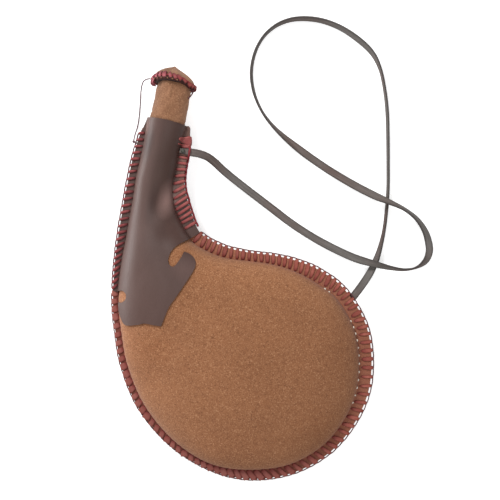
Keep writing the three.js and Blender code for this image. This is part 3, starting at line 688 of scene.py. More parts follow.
# Dark leathers for painted shade: strips beside the stitches, the punched holes and the gaps under the lid's
# rim; the soft one is for the belly and the right collar
SOFT_SHADE = leather_material("soft_crease", (112, 66, 60), (128, 80, 72), (90, 50, 46), (0.8, 0.9))
DARK_SHADE = leather_material("punched_hole", (78, 42, 36), (98, 58, 46), (52, 28, 26), (0.9, 0.95))
WOOD = leather_material(
    "turned_wood", (172, 132, 88), (196, 156, 108), (132, 96, 60), (0.5, 0.7), patch_scale=70.0,
    stretch=(1, 0.12, 1),
)
RUBBER = leather_material("bladder_lining", (214, 202, 176), (228, 218, 196), (186, 172, 144), (0.5, 0.65))
PALE_SPECKS = leather_material(
    "pale_thread", (240, 230, 214), (250, 244, 232), (206, 190, 168), (0.7, 0.8), patch_scale=300.0,
)
STUD = leather_material(
    "aged_stud", (80, 80, 72), (104, 102, 92), (56, 54, 50), (0.5, 0.7), patch_scale=300.0,
)


# Camera, lights and floor

def place_camera():
    data = bpy.data.cameras.new("camera")
    data.sensor_fit = "HORIZONTAL"
    data.sensor_width = 36.0
    data.lens = data.sensor_width * CAMERA_HEIGHT / VIEW_WIDTH
    data.clip_start = 0.05
    camera = bpy.data.objects.new("camera", data)
    bpy.context.scene.collection.objects.link(camera)
    camera.location = in_frame((*CAMERA_OVER, CAMERA_HEIGHT))
    camera.rotation_euler = (0, 0, CAMERA_ROLL)
    bpy.context.scene.camera = camera


def area_light(name, location, target, size, power, height=None):
    data = bpy.data.lights.new(name, "AREA")
    data.shape = "ELLIPSE"
    data.size = size
    data.size_y = height or size
    data.energy = power
    light = bpy.data.objects.new(name, data)
    bpy.context.scene.collection.objects.link(light)
    light.location = location
    light.rotation_euler = (Vector(target) - Vector(location)).to_track_quat("-Z", "Y").to_euler()


def light_scene():
    middle_of_view = (0.0, 0.03, 0.0)
    area_light("key", (-1.0, 1.15, 1.3), middle_of_view, 0.8, 24.0)
    area_light("low_left", (-0.75, 0.06, 0.07), (-0.1, 0.05, 0.045), 0.95, 4.2, height=0.13)
    area_light("fill", (0.45, -0.85, 1.8), middle_of_view, 1.4, 12.5)
    world = bpy.data.worlds.new("room")
    world.use_nodes = True
    n = Nodes(world.node_tree)
    room = world.node_tree.nodes["Background"]
    room.inputs["Color"].default_value = (1, 1, 1, 1)
    room.inputs["Strength"].default_value = 0.3
    backdrop = n.add("ShaderNodeBackground", {"Color": (1, 1, 1, 1), "Strength": 1.0})
    rays = n.add("ShaderNodeLightPath").outputs
    seen = n.maths("MAXIMUM", rays["Is Camera Ray"], rays["Is Transmission Ray"])
    both = n.mix_shader(seen, room.outputs[0], backdrop.outputs[0])
    n.put(world.node_tree.nodes["World Output"].inputs["Surface"], both)
    bpy.context.scene.world = world


def lay_floor():
    """A white floor that keeps the bag's soft shadow."""
    half = 3.0
    material, n, shader = new_material(
        "pale_floor", Base_Color=(0.86, 0.86, 0.86, 1), Roughness=0.9, Specular_IOR_Level=0.0,
    )
    glow = n.add("ShaderNodeEmission", {"Color": (1, 1, 1, 1), "Strength": 0.62})
    lifted = n.add("ShaderNodeAddShader", {0: shader.outputs[0], 1: glow.outputs[0]})
    camera_ray = n.add("ShaderNodeLightPath").outputs["Is Camera Ray"]
    both = n.mix_shader(camera_ray, shader.outputs[0], lifted.outputs[0])
    n.put(material.node_tree.nodes["Material Output"].inputs["Surface"], both)
    corners = [(-half, -half, 0), (half, -half, 0), (half, half, 0), (-half, half, 0)]
    mesh_object("floor", corners, [(0, 1, 2, 3)], material)


place_camera()
light_scene()
lay_floor()
bpy.context.scene.view_settings.view_transform = "Standard"


# Cords: the strap and the tether, along the points of their solids, in metres from the mouth's centre in plan
# and from the floor in height

STRAP_WIDTH = 0.008
STRAP_THICKNESS = 0.002
STRAP_STEPS = 520
# The strap's section over half its width and half its thickness, with raised edges
STRAP_SECTION = [
    (1.0, -0.35), (1.0, 0.35), (0.93, 0.8), (0.78, 0.97), (0.4, 0.86), (0.0, 0.82), (-0.4, 0.86),
    (-0.78, 0.97), (-0.93, 0.8), (-1.0, 0.35), (-1.0, -0.35), (-0.93, -0.8), (-0.78, -0.97),
    (-0.4, -0.86), (0.0, -0.82), (0.4, -0.86), (0.78, -0.97), (0.93, -0.8),
]
# x, y, lift of the lowest edge over the floor, and how far the strap stands on edge in degrees
STRAP_ROUTE = [
    (0.0186, -0.0261, 0.0287, 0), (0.0308, -0.0255, 0.0287, 0), (0.0387, -0.0251, 0.0262, 0),
    (0.047, -0.0262, 0.0216, 0), (0.0549, -0.0297, 0.0159, 0), (0.0638, -0.0349, 0.0104, 2),
    (0.0758, -0.041, 0.0056, 4), (0.0905, -0.0481, 0.0026, 5), (0.1062, -0.0555, 0.0008, 5),
    (0.1228, -0.0634, 0.0002, 5), (0.1393, -0.0713, 0, 5), (0.1573, -0.0787, 0, 5),
    (0.1784, -0.0859, 0.0004, 6), (0.2016, -0.0921, 0.003, 8), (0.2171, -0.095, 0.006, 14),
    (0.2344, -0.0963, 0.009, 40), (0.25, -0.0969, 0.0074, 64), (0.2646, -0.0958, 0.0038, 78),
    (0.276, -0.0914, 0.001, 80), (0.2845, -0.0829, 0, 40), (0.2869, -0.073, 0, 12),
    (0.284, -0.0631, 0.001, 14), (0.277, -0.0523, 0.0034, 38), (0.2658, -0.0425, 0.0064, 56),
    (0.2512, -0.0357, 0.0088, 64), (0.2353, -0.0319, 0.0095, 48), (0.2191, -0.0284, 0.0082, 14),
    (0.1974, -0.0219, 0.004, 2), (0.1734, -0.0134, 0.0009, 0), (0.1539, -0.0056, 0, 0),
    (0.1356, 0.0025, 0, 18), (0.1173, 0.0118, 0, 52), (0.1016, 0.022, 0, 70), (0.0886, 0.0342, 0, 78),
    (0.0778, 0.0503, 0, 76), (0.0713, 0.0693, 0, 76), (0.0708, 0.0894, 0, 80), (0.0759, 0.107, 0, 82),
    (0.0855, 0.1202, 0, 79), (0.0984, 0.1292, 0, 75), (0.1138, 0.134, 0, 71), (0.132, 0.1353, 0, 69),
    (0.1522, 0.1319, 0, 66), (0.1726, 0.1236, 0, 62), (0.1883, 0.1134, 0, 70), (0.1994, 0.0991, 0, 82),
    (0.2083, 0.0791, 0, 83), (0.2154, 0.0573, 0, 80), (0.2214, 0.0322, 0, 81), (0.2272, 0.0057, 0, 82),
    (0.2322, -0.0187, 0, 82), (0.2354, -0.0424, 0, 81), (0.2369, -0.0621, 0, 80),
    (0.2365, -0.0796, 0, 68), (0.2352, -0.092, 0, 50), (0.2322, -0.1045, 0.002, 26),
    (0.2276, -0.1156, 0.0078, 6), (0.223, -0.1245, 0.0146, 0), (0.2202, -0.1296, 0.0176, 0),
    (0.2174, -0.1351, 0.0184, 0),
]
TETHER_DIAMETER = 0.0012
TETHER_STEPS = 160
TETHER_ROUTE = [
    (-0.0256, 0.0386, 0.0236), (-0.0288, 0.0376, 0.0228), (-0.0319, 0.036, 0.0188),
    (-0.0338, 0.0339, 0.0124), (-0.0348, 0.0306, 0.0058), (-0.0349, 0.0254, 0.0019),
    (-0.0338, 0.0174, 0.0008), (-0.0325, 0.0085, 0.0008), (-0.0315, -0.001, 0.0008),
    (-0.0312, -0.0092, 0.0012), (-0.0314, -0.015, 0.004), (-0.031, -0.0194, 0.009),
    (-0.0303, -0.0228, 0.0146), (-0.0295, -0.026, 0.02),
]
ON_FLOOR = np.array([MOUTH[0], MOUTH[1], 0.0])


def strap_path(steps):
    route = np.array(STRAP_ROUTE)
    rolls = np.radians(route[:, 3])
    rise = np.sin(rolls) * STRAP_WIDTH / 2 + np.cos(rolls) * STRAP_THICKNESS / 2
    centres = np.column_stack([route[:, :2], np.maximum(route[:, 2], 0.00005) + rise])
    places = np.linspace(0, len(route) - 1, steps + 1)
    return Through(centres)(places) + ON_FLOOR, np.radians(Through(route[:, 3])(places)[:, 0])


def make_strap():
    centres, rolls = strap_path(STRAP_STEPS)
    across, normals = level_frame(centres, rolls)
    section = np.array(STRAP_SECTION) * (STRAP_WIDTH / 2, STRAP_THICKNESS / 2)
    along = np.linspace(0, 1, STRAP_STEPS + 1)
    waver = 1 - 0.035 * (0.5 + 0.5 * np.sin(along * 61) * np.sin(along * 23))
    waver *= np.interp(along, [0, 0.008, 0.014], [0.66, 0.78, 1])
    sections = section[None] * np.stack([waver, np.ones_like(waver)], axis=1)[:, None]
    strap = tube("strap_band", centres, across, normals, sections, STRAP)
    finished(strap, "strap", "bag")


def make_tether():
    places = np.linspace(0, len(TETHER_ROUTE) - 1, TETHER_STEPS + 1)
    centres = Through(TETHER_ROUTE)(places) + ON_FLOOR
    across, normals = level_frame(centres, np.zeros(len(centres)))
    angles = np.linspace(0, 2 * math.pi, 12, endpoint=False)
    section = np.column_stack([np.cos(angles), np.sin(angles)]) * TETHER_DIAMETER / 2
    tether = tube("tether_cord", centres, across, normals, section, TETHER_LACE)
    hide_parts("tether")
    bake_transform(tether)


make_strap()
make_tether()


# Body and collar

BODY_STITCHES = stitch_places(BODY_LACING)
LEFT_STITCHES = stitch_places(LEFT_LACING)
RIGHT_STITCHES = stitch_places(RIGHT_LACING)
ALL_STITCHES = np.sort(np.concatenate([BODY_STITCHES, LEFT_STITCHES, RIGHT_STITCHES]))

# How far the leather is drawn in and swells at the stitches, in millimetres
PUCKER_HEIGHT = 0.25


def face_places(first):
    """Places round one face, the same down both sides so that they meet on the middle line."""
    down = np.linspace(first, SIDE_PLACES, int((SIDE_PLACES - first) * SIDE_STEPS) + 1)
    belly_places = LAST_PLACE - 2 * SIDE_PLACES
    round_belly = np.linspace(SIDE_PLACES, LAST_PLACE - SIDE_PLACES, belly_places * BELLY_STEPS + 1)
    return np.concatenate([down, round_belly[1:-1], (LAST_PLACE - down)[::-1]])


def pucker(grid, places, side):
    """The lace draws the leather in at each stitch, and it swells a little between them."""
    phase = np.interp(places, ALL_STITCHES, np.arange(len(ALL_STITCHES)))
    swell = -np.cos(2 * math.pi * phase)
    for step in range(-3, 7):
        column = FLANGE_STEPS + step
        fade = math.exp(-((step - 1) / 2.6) ** 2)
        grid[:, column, 2] += side * PUCKER_HEIGHT * fade * swell
        if step <= 0:
            grid[:, column, 2] = side * np.maximum(side * grid[:, column, 2], FLANGE_TOP - 0.1)


def soft_hollows(grid):
    """Slow dents and swells of a filled leather belly."""
    x, y = grid[:, :, 0], grid[:, :, 1]
    inside = np.clip((grid[:, :, 2] - 8) / 14, 0, 1)
    waves = (
        0.55 * np.sin(x / 31 + y / 57 + 0.6)
        + 0.4 * np.sin(x / 47 - y / 29 + 2.1)
        + 0.25 * np.sin(x / 17 + y / 23 + 4.0)
    )
    grid[:, :, 2] += 0.6 * waves * inside


# How much painted shade darkens the flange between the stitches, by place on the outline
FLANGE_SHADE_AMOUNT = [(8.4, 0), (8.5, 1), (15.5, 1), (17.5, 0.2), (23, 0), (33, 0)]

# Soft relief of the front: x, y, half-width, half-length and height of each swell, in millimetres
RELIEF = [(12, -76, 8.5, 15, -3.0), (25, -76, 8, 14, 1.2), (26, -112, 10, 9, -1.2), (2, -140, 14, 26, 0.8)]


def raise_relief(grid):
    for x, y, wide, long, height in RELIEF:
        away = ((grid[:, :, 0] - x) / wide) ** 2 + ((grid[:, :, 1] - y) / long) ** 2
        inside = np.clip((grid[:, :, 2] - 2.5) / 5, 0, 1)
        grid[:, :, 2] += height * np.exp(-away) * inside


def face_sheet(name, first, side):
    """One face of the leather as a sheet, from a first place round the edge, with its dye and the painted
    shade on its flange.
    """
    places = face_places(first)
    inwards = 1 - np.cos(np.linspace(0, math.pi / 2, DOME_STEPS + 1))
    grid = face_grid(places, inwards, side)
    if side > 0:
        soft_hollows(grid)
        raise_relief(grid)
    pucker(grid, places, side)
    grid[:, :, 2] = np.maximum(grid[:, :, 2], -SEAM_HEIGHT)
    rows, columns = grid.shape[:2]
    faces = grid_faces(rows, columns)
    if side > 0:
        faces = [face[::-1] for face in faces]
    sheet = mesh_object(name, in_frame(grid.reshape(-1, 3)), faces)
    # Dye over the flange, and painted shade there between the stitches
    for dye_and_shade, amount, fade in (("dye", np.ones(rows), 4), ("grime", by_place(FLANGE_SHADE_AMOUNT, places), 1)):
        flange_falloff = np.interp(np.arange(columns), [0, FLANGE_STEPS - 1, FLANGE_STEPS + fade], [1, 1, 0])
        layer = sheet.data.attributes.new(dye_and_shade, "FLOAT", "POINT")
        layer.data.foreach_set("value", np.outer(amount, flange_falloff).ravel())
    tidy_mesh(sheet, outward=False)
    return sheet


def push_out(obj, distance):
    """Move a sheet's points along their normals by a distance in metres."""
    mesh = obj.data
    count = len(mesh.vertices)
    points = np.empty(count * 3)
    normals = np.empty(count * 3)
    mesh.vertices.foreach_get("co", points)
    mesh.vertex_normals.foreach_get("vector", normals)
    mesh.vertices.foreach_set("co", points + normals * distance)
    mesh.update()


def thicken(obj, thickness):
    """Give a sheet its thickness, in millimetres, on its inner side."""
    solid = obj.modifiers.new("thickness", "SOLIDIFY")
    solid.thickness = thickness * MM
    solid.offset = -1
    solid.use_rim = True
    bake_modifiers(obj)
    obj.data.shade_smooth()


def sharpen(obj, degrees=40):
    """Keep real corners crisp and the rest smooth."""
    obj.data.shade_smooth()
    obj.data.set_sharp_from_angle(angle=math.radians(degrees))


def make_panels():
    for face, side in (("front", 1), ("back", -1)):
        panel = face_sheet(f"suede_{face}", 0.5, side)
        thicken(panel, SUEDE_THICKNESS)
        paint(panel, SUEDE)
        sharpen(panel)
        finished(panel, f"{face}_panel", "bag")


def collar_pattern():
    """The collar's outline in plan, its lower edge rounded through the listed points."""
    pattern = MOUTH_CORNERS + [(-CUTTER_REACH, COLLAR_EDGE_LEFT), (COLLAR_NOTCH[0][0], COLLAR_EDGE_LEFT)]
    for run in (COLLAR_NOTCH, COLLAR_FOOT, COLLAR_SCROLL, COLLAR_CURL):
        smooth = Through(run)(np.linspace(0, len(run) - 1, (len(run) - 1) * 5 + 1))
        pattern.extend(tuple(p) for p in smooth)
    pattern.append((CUTTER_REACH, COLLAR_EDGE_RIGHT))
    return pattern


def collar_cutter(side):
    """A tall block of the collar's outline."""
    pattern = collar_pattern()
    count = len(pattern)
    low, high = (-1, CUTTER_REACH) if side > 0 else (-CUTTER_REACH, 1)
    points = [(*p, low) for p in pattern] + [(*p, high) for p in pattern]
    faces = [tuple(range(count))[::-1], tuple(range(count, 2 * count))]
    faces += [(n, (n + 1) % count, count + (n + 1) % count, count + n) for n in range(count)]
    cutter = mesh_object("collar_cutter", in_frame(points), faces, CUT_EDGE_AND_SHADE, smooth=False)
    tidy_mesh(cutter)
    return cutter


def make_collars():
    for face, side in (("front", 1), ("back", -1)):
        collar = face_sheet(f"collar_leather_{face}", 0.0, side)
        push_out(collar, (COLLAR_GAP + COLLAR_THICKNESS) * MM)
        thicken(collar, COLLAR_THICKNESS)
        paint(collar, COLLAR)
        cutter = collar_cutter(side)
        cut = collar.modifiers.new("pattern", "BOOLEAN")
        cut.operation = "INTERSECT"
        cut.solver = "MANIFOLD"
        cut.object = cutter
        bake_modifiers(collar)
        bpy.data.objects.remove(cutter)
        sharpen(collar)
        finished(collar, f"collar_{face}", "bag")


make_panels()
make_collars()


# Geometry Nodes trees

THREAD_SIDES = 8


def new_maker(name, inputs):
    """A Geometry Nodes tree that takes geometry and the listed values and gives geometry."""
    geometry = [("Geometry", "Geometry")]
    made = new_tree(name, "GeometryNodeTree", geometry + inputs, geometry)
    made[0].is_modifier = True
    return made


def give_out(n, given, out, geometry):
    """End a tree: real meshes in the given material."""
    real = n.add("GeometryNodeRealizeInstances", {"Geometry": geometry}).outputs["Geometry"]
    dyed = n.add("GeometryNodeSetMaterial", {"Geometry": real, "Material": given["Material"]})
    n.put(out["Geometry"], dyed.outputs["Geometry"])


def make_stitch_tree():
    """Sets a stitch on each point, turned and sized by the point's own values and a little by chance."""
    tree, n, given, out = new_maker("Stitches on points", [
        ("Stitch", "Object"), ("Sway", "Float"), ("Swell", "Float"), ("Seed", "Int"),
        ("Material", "Material"),
    ])

    def kept(name):
        node = n.add("GeometryNodeInputNamedAttribute", {"Name": name}, data_type="FLOAT_VECTOR")
        return node.outputs["Attribute"]

    def random_about(middle, reach, offset):
        node = n.add("FunctionNodeRandomValue", {
            2: n.maths("SUBTRACT", middle, reach), 3: n.maths("ADD", middle, reach),
            "Seed": n.maths("ADD", given["Seed"], offset),
        }, data_type="FLOAT")
        return node.outputs[1]

    stitch = n.add("GeometryNodeObjectInfo", {"Object": given["Stitch"]}).outputs["Geometry"]
    turn = n.add("FunctionNodeEulerToRotation", {"Euler": kept("turn")}).outputs["Rotation"]
    placed = n.add("GeometryNodeInstanceOnPoints", {
        "Points": given["Geometry"], "Instance": stitch, "Rotation": turn, "Scale": kept("size"),
    }).outputs["Instances"]
    sway = n.add("ShaderNodeCombineXYZ", {"Z": random_about(0.0, given["Sway"], 1.0)}).outputs["Vector"]
    swayed = n.add("GeometryNodeRotateInstances", {"Instances": placed, "Rotation": sway}).outputs[0]
    swell = n.add("ShaderNodeCombineXYZ", {
        "X": 1.0, "Y": random_about(1.0, given["Swell"], 2.0), "Z": 1.0,
    }).outputs["Vector"]
    swelled = n.add("GeometryNodeScaleInstances", {"Instances": swayed, "Scale": swell}).outputs[0]
    give_out(n, given, out, swelled)
    return tree


def make_thread_tree():
    """Turns a line of points into a round thread."""
    tree, n, given, out = new_maker("Thread along a line", [("Radius", "Float"), ("Material", "Material")])
    line = n.add("GeometryNodeMeshToCurve", {"Mesh": given["Geometry"]}).outputs["Curve"]
    ring = n.add("GeometryNodeCurvePrimitiveCircle", {
        "Resolution": THREAD_SIDES, "Radius": given["Radius"],
    }, mode="RADIUS").outputs["Curve"]
    thread = n.add("GeometryNodeCurveToMesh", {
        "Curve": line, "Profile Curve": ring, "Fill Caps": True,
    }).outputs["Mesh"]
    give_out(n, given, out, thread)
    return tree


STITCH_TREE = make_stitch_tree()
THREAD_TREE = make_thread_tree()


def run_tree(obj, tree, **values):
    """Runs a Geometry Nodes tree on an object and keeps the plain mesh that it makes."""
    modifier = obj.modifiers.new(tree.name, "NODES")
    modifier.node_group = tree
    for item in tree.interface.items_tree:
        if item.in_out == "INPUT" and item.name in values:
            modifier[item.identifier] = values[item.name]
    bake_modifiers(obj)
    obj.data.shade_smooth()
    return obj


def turned_to(headings, flip=0.0):
    """Euler angles that flip pieces about their length and then turn them to their headings in plan."""
    return np.column_stack([np.full(len(headings), flip), np.zeros(len(headings)), headings])


def on_points(name, points, turns, sizes, tones, stitch, material, seed, sway=0.05, swell=0.1):
    """One mesh of a stitch set on each point, in millimetres, with its turn, its size and its tone."""
    mesh = bpy.data.meshes.new(name)
    mesh.from_pydata([tuple(p) for p in in_frame(points)], [], [])
    for attribute, kind, field, values in (
        ("turn", "FLOAT_VECTOR", "vector", turns), ("size", "FLOAT_VECTOR", "vector", sizes),
        ("tone", "FLOAT", "value", tones),
    ):
        layer = mesh.attributes.new(attribute, kind, "POINT")
        layer.data.foreach_set(field, np.asarray(values, dtype=np.float32).ravel())
    obj = new_object(name, mesh)
    return run_tree(obj, STITCH_TREE, Stitch=stitch, Sway=sway, Swell=swell, Seed=seed, Material=material)


def thread(name, points, radius, material):
    mesh = bpy.data.meshes.new(name)
    mesh.from_pydata([tuple(p) for p in in_frame(points)], [(n, n + 1) for n in range(len(points) - 1)], [])
    return run_tree(new_object(name, mesh), THREAD_TREE, Radius=radius * MM, Material=material)


def join(name, parts):
    """One piece of several meshes, with each part's own material."""
    materials = []
    work = bmesh.new()
    uv = work.loops.layers.uv.new("UVMap")
    tone = work.verts.layers.float.new("tone")
    for part in parts:
        mesh = part.data
        slots = []
        for material in mesh.materials:
            if material not in materials:
                materials.append(material)
            slots.append(materials.index(material))
        piece = bmesh.new()
        piece.from_mesh(mesh)
        piece_uv = piece.loops.layers.uv.get("UVMap")
        piece_tone = piece.verts.layers.float.get("tone")
        piece.verts.index_update()
        made = []
        for vert in piece.verts:
            twin = work.verts.new(vert.co)
            twin[tone] = vert[piece_tone] if piece_tone else 0.0
            made.append(twin)
        for face in piece.faces:
            twin = work.faces.new([made[v.index] for v in face.verts])
            twin.smooth = face.smooth
            twin.material_index = slots[face.material_index] if slots else 0
            for here, there in zip(face.loops, twin.loops):
                there[uv].uv = here[piece_uv].uv if piece_uv else (0.5, 0.0)
        piece.free()
        bpy.data.objects.remove(part)
    mesh = bpy.data.meshes.new(name)
    work.to_mesh(mesh)
    work.free()
    obj = new_object(name, mesh)
    for material in materials:
        mesh.materials.append(material)
    return obj


def ball(name, centre, radii, material, rings=14, sides=28):
    work = bmesh.new()
    bmesh.ops.create_uvsphere(work, u_segments=sides, v_segments=rings, radius=1.0)
    mesh = bpy.data.meshes.new(name)
    work.to_mesh(mesh)
    work.free()
    obj = new_object(name, mesh, material)
    size = Matrix.Diagonal((*(np.array(radii) * MM), 1.0))
    mesh.transform(Matrix.Translation(Vector(in_frame(centre))) @ size)
    mesh.shade_smooth()
    return obj


def small_balls(name, points, headings, radii, sides, material, seed, swell=0.1):
    """One mesh of a small ball on each point, turned to its heading in plan."""
    pebble = ball("pebble", (0, 0, 0), radii, None, 6, sides)
    pebble.data.transform(Matrix.Translation(-Vector(in_frame((0, 0, 0)))))
    sizes = np.ones((len(points), 3))
    tones = np.zeros(len(points))
    made = on_points(name, points, turned_to(headings), sizes, tones, pebble, material, seed, swell=swell)
    bpy.data.objects.remove(pebble)
    return made


def surface_of(name):
    """A finished piece's surface, to look for points on."""
    mesh = bpy.data.objects[name].data
    return BVHTree.FromPolygons([v.co for v in mesh.vertices], [p.vertices for p in mesh.polygons])


def height_over(surface, x, y):
    """Height of a surface over a point in plan, in millimetres from the seam."""
    hit = surface.ray_cast(Vector(in_frame((x, y, 100))), Vector((0, 0, -1)))[0]
    return (hit[2] - MOUTH[2]) / MM if hit is not None else 0.0


def laid_on(name, flat, lift):
    """Points in plan, set a lift above a finished piece."""
    surface = surface_of(name)
    return [(x, y, height_over(surface, x, y) + lift) for x, y in flat]


# Stitches

RIBBON = [
    (1.0, 0.0), (0.96, 0.55), (0.8, 0.9), (0.45, 1.0), (0.0, 1.05), (-0.45, 1.0), (-0.8, 0.9), (-0.96, 0.55),
    (-1.0, 0.0), (-0.9, -0.6), (-0.5, -0.8), (0.5, -0.8), (0.9, -0.6),
]


def ribbon_sections(widths, thickness=LACE_THICKNESS):
    """The lace's section at each width, in metres."""
    halves = np.column_stack([widths, np.full(len(widths), thickness)]) * MM / 2
    return np.array(RIBBON)[None] * halves[:, None]


def ribbon(name, path, widths, thickness=LACE_THICKNESS):
    """A flat lace along a path of (x, z) in millimetres, as wide along y as the widths say."""
    places = np.linspace(0, len(path) - 1, (len(path) - 1) * 3 + 1)
    x, z = Through(path)(places).T
    centres = np.column_stack([x, np.zeros(len(x)), z]) * MM
    across = np.tile([0.0, 1.0, 0.0], (len(centres), 1))
    normals = np.cross(unit(np.gradient(centres, axis=0)), across)
    sections = ribbon_sections(Through(widths)(places)[:, 0], thickness)
    return tube(name, centres, across, normals, sections, None)


LEG_LENGTH = 10.0
LEG_PATH = [
    (-0.3, -0.2), (0.8, 0.05), (3, 0.2), (5.5, 0.25), (7.6, 0.15), (8.9, -0.2), (9.6, -0.9), (10, -1.8),
]
TAPERED_WIDTHS = [3.4, 3.6, 3.6, 3.4, 3.0, 2.4, 1.7, 1.1]
CROWDED_WIDTHS = [3.8, 3.8, 3.65, 3.45, 3.25, 3.05, 2.75, 2.2]
SQUARE_WIDTHS = [3.3, 3.4, 3.4, 3.35, 3.3, 3.2, 3.0, 2.4]
CROWDED_PLACES = (8.4, 17.2)
SQUARE_FROM = 28.2
# How far a stitch ends short of the flange's root, and how far its strip of painted shade passes it
STITCH_INSET = 0.2
SHADE_STRIP_PAST = 0.3
SHADE_STRIP_PATH = [(0.1, 0), (3, 0.02), (7, 0.04), (9, 0.06), (10, 0.02)]
WRAP_REACH = 0.9


def wrap(top):
    """The lace's turn round the edge, from the top of one face to the other."""
    angles = np.linspace(0, math.pi, 7)
    path = [(-WRAP_REACH * math.sin(a), top * math.cos(a)) for a in angles]
    return ribbon("wrap", path, [3.4, 3.2, 3.0, 2.9, 3.0, 3.2, 3.4])


# How wide and how long the stitches are as shares of their patterns, and the widths of their strips of
# painted shade, by place
STITCH_WIDTHS = [
    (0, 0.8), (8.4, 0.8), (8.45, 1.7), (12, 1.74), (14, 1.6), (16, 1.45), (17.5, 1.08), (19, 1.02),
    (22, 1.05), (24, 1.0), (28, 1.05), (28.2, 0.86), (33, 0.8),
]
STITCH_REACHES = [(0, 1), (17.8, 1), (18.8, 0.8), (21.2, 0.8), (22.6, 1), (33, 1)]
SHADE_STRIP_WIDTHS = [
    (0, 1), (8.4, 1), (8.5, 0.8), (17.2, 0.8), (18, 0.85), (22, 0.85), (24, 1), (28, 1), (28.2, 0.85),
    (33, 0.85),
]

# How far the run lies outside the edge, by place on the outline, in millimetres
RUN_BOWS = [
    (0, 2.2), (8.4, 1.9), (9.2, 1.6), (10.2, 1.4), (11.4, 1.35), (12.2, 0.95), (13.5, 0.95), (14.3, 1.6),
    (16.6, 1.9), (18, 2.35), (20, 2.4), (27, 2.3), (28, 2.2), (28.2, 1.7), (29.1, 1.6), (29.35, 2.1),
    (29.6, 1.6), (33, 1.4),
]
RUN_DIP = 0.3
# Where the run climbs over the strap: its height there, y in plan and half the length of the climb
STRAP_CLIMB = (8.0, -25.6, 5.2)
# Where the pale specks lie and where the painted shade of the punched holes begins, by place
SPECK_PLACES = [(18.2, 20.4), (21.3, 21.6)]
HOLE_SHADES_FROM = 28.9


def stitch_layout(places, inset):
    """Points on the edge, headings inward, angles of lean and lengths of stitches that end an inset short."""
    edge = outline(places)
    inward = inward_at(places)
    heading = np.arctan2(inward[:, 1], inward[:, 0])
    lean = by_place(STITCH_LEANS, places)
    reach = np.maximum(edge[:, 2] - inset, 3) * np.sqrt(1 + lean**2) * by_place(STITCH_REACHES, places)
    return edge[:, :2], heading, np.arctan(lean), reach


def on_both_faces(flat, height, heading, lean):
    """Points and turns on the front and then the back, where the turns are flipped over."""
    for side, flip in ((1, 0.0), (-1, math.pi)):
        points = np.column_stack([flat, np.full(len(flat), side * height)])
        yield points, turned_to(heading - side * lean, flip)


def stitch_row(name, places, cover, material, seed, tone=(0.0, 0.35), sway=0.05, swell=0.1):
    """Stitches at places on the outline: a leg on each face, and the lace's turn round the edge."""
    chance = np.random.default_rng(seed)
    top = FLANGE_TOP + cover + 0.15 + LACE_THICKNESS / 2
    flat, heading, lean, reach = stitch_layout(places, cover + STITCH_INSET)
    width = by_place(STITCH_WIDTHS, places)
    tones = chance.uniform(*tone, len(places))
    ones = np.ones(len(places))
    sizes = np.column_stack([reach / LEG_LENGTH, width, ones])
    crowded = (places > CROWDED_PLACES[0]) & (places < CROWDED_PLACES[1])
    square = places > SQUARE_FROM
    kinds = (
        (crowded, CROWDED_WIDTHS), (square, SQUARE_WIDTHS), (~(crowded | square), TAPERED_WIDTHS),
    )
    parts = []
    for points, turns in on_both_faces(flat, top, heading, lean):
        for some, widths in kinds:
            if some.any():
                leg = ribbon("leg", LEG_PATH, widths)
                parts.append(on_points(
                    f"{name}_legs_{len(parts)}", points[some], turns[some], sizes[some], tones[some], leg,
                    material, seed, sway, swell,
                ))
                bpy.data.objects.remove(leg)
    turn = wrap(top)
    points = np.column_stack([flat, np.zeros(len(places))])
    to_run = (by_place(RUN_BOWS, places) - RUN_DIP + 0.2) / (WRAP_REACH + LACE_THICKNESS / 2)
    sizes = np.column_stack([to_run, width, ones])
    parts.append(on_points(
        f"{name}_wraps", points, turned_to(heading), sizes, tones, turn, material, seed, sway=0.0, swell=0.05,
    ))
    bpy.data.objects.remove(turn)
    return parts


def edge_run(name, places, radius, material, over_strap=False):
    """The lace along the edge, a little closer to it at each stitch, and over the strap if asked."""
    spans = [np.linspace(a, b, 9)[:-1] for a, b in zip(places[:-1], places[1:])]
    fine = np.concatenate(spans + [places[-1:]])
    phase = np.interp(fine, places, np.arange(len(places)))
    loose = np.random.default_rng(17).uniform(0.9, 1.06, len(places))
    bow = by_place(RUN_BOWS, fine) * loose[np.minimum(phase.astype(int), len(places) - 1)]
    distance = bow - RUN_DIP * (0.5 + 0.5 * np.cos(2 * math.pi * phase))
    distance = np.convolve(np.pad(distance, 2, mode="edge"), [0.1, 0.2, 0.4, 0.2, 0.1], mode="valid")
    flat = edge_at(fine) - inward_at(fine) * distance[:, None]
    z = 0.5 * np.sin(2 * math.pi * phase)
    if over_strap:
        height, y, half_length = STRAP_CLIMB
        z += height * np.exp(-((flat[:, 1] - y) / half_length) ** 4)
    return thread(name, np.column_stack([flat, z]), radius, material)


def shade_strip_row(name, places, cover, seed, material=DARK_SHADE, sway=0.05, swell=0.1):
    """Painted shade: thin dark strips on the leather under and beside the stitches."""
    flat, heading, lean, reach = stitch_layout(places, cover - SHADE_STRIP_PAST)
    width = by_place(STITCH_WIDTHS, places) * by_place(SHADE_STRIP_WIDTHS, places)
    sizes = np.column_stack([reach / LEG_LENGTH, width, np.ones(len(places))])
    tones = np.zeros(len(places))
    crease = ribbon("crease", SHADE_STRIP_PATH, [3.9, 4.1, 3.7, 2.7, 1.5], thickness=0.2)
    parts = []
    for points, turns in on_both_faces(flat, FLANGE_TOP + cover + 0.06, heading, lean):
        part = f"{name}_{len(parts)}"
        parts.append(on_points(part, points, turns, sizes, tones, crease, material, seed, sway, swell))
    bpy.data.objects.remove(crease)
    return parts


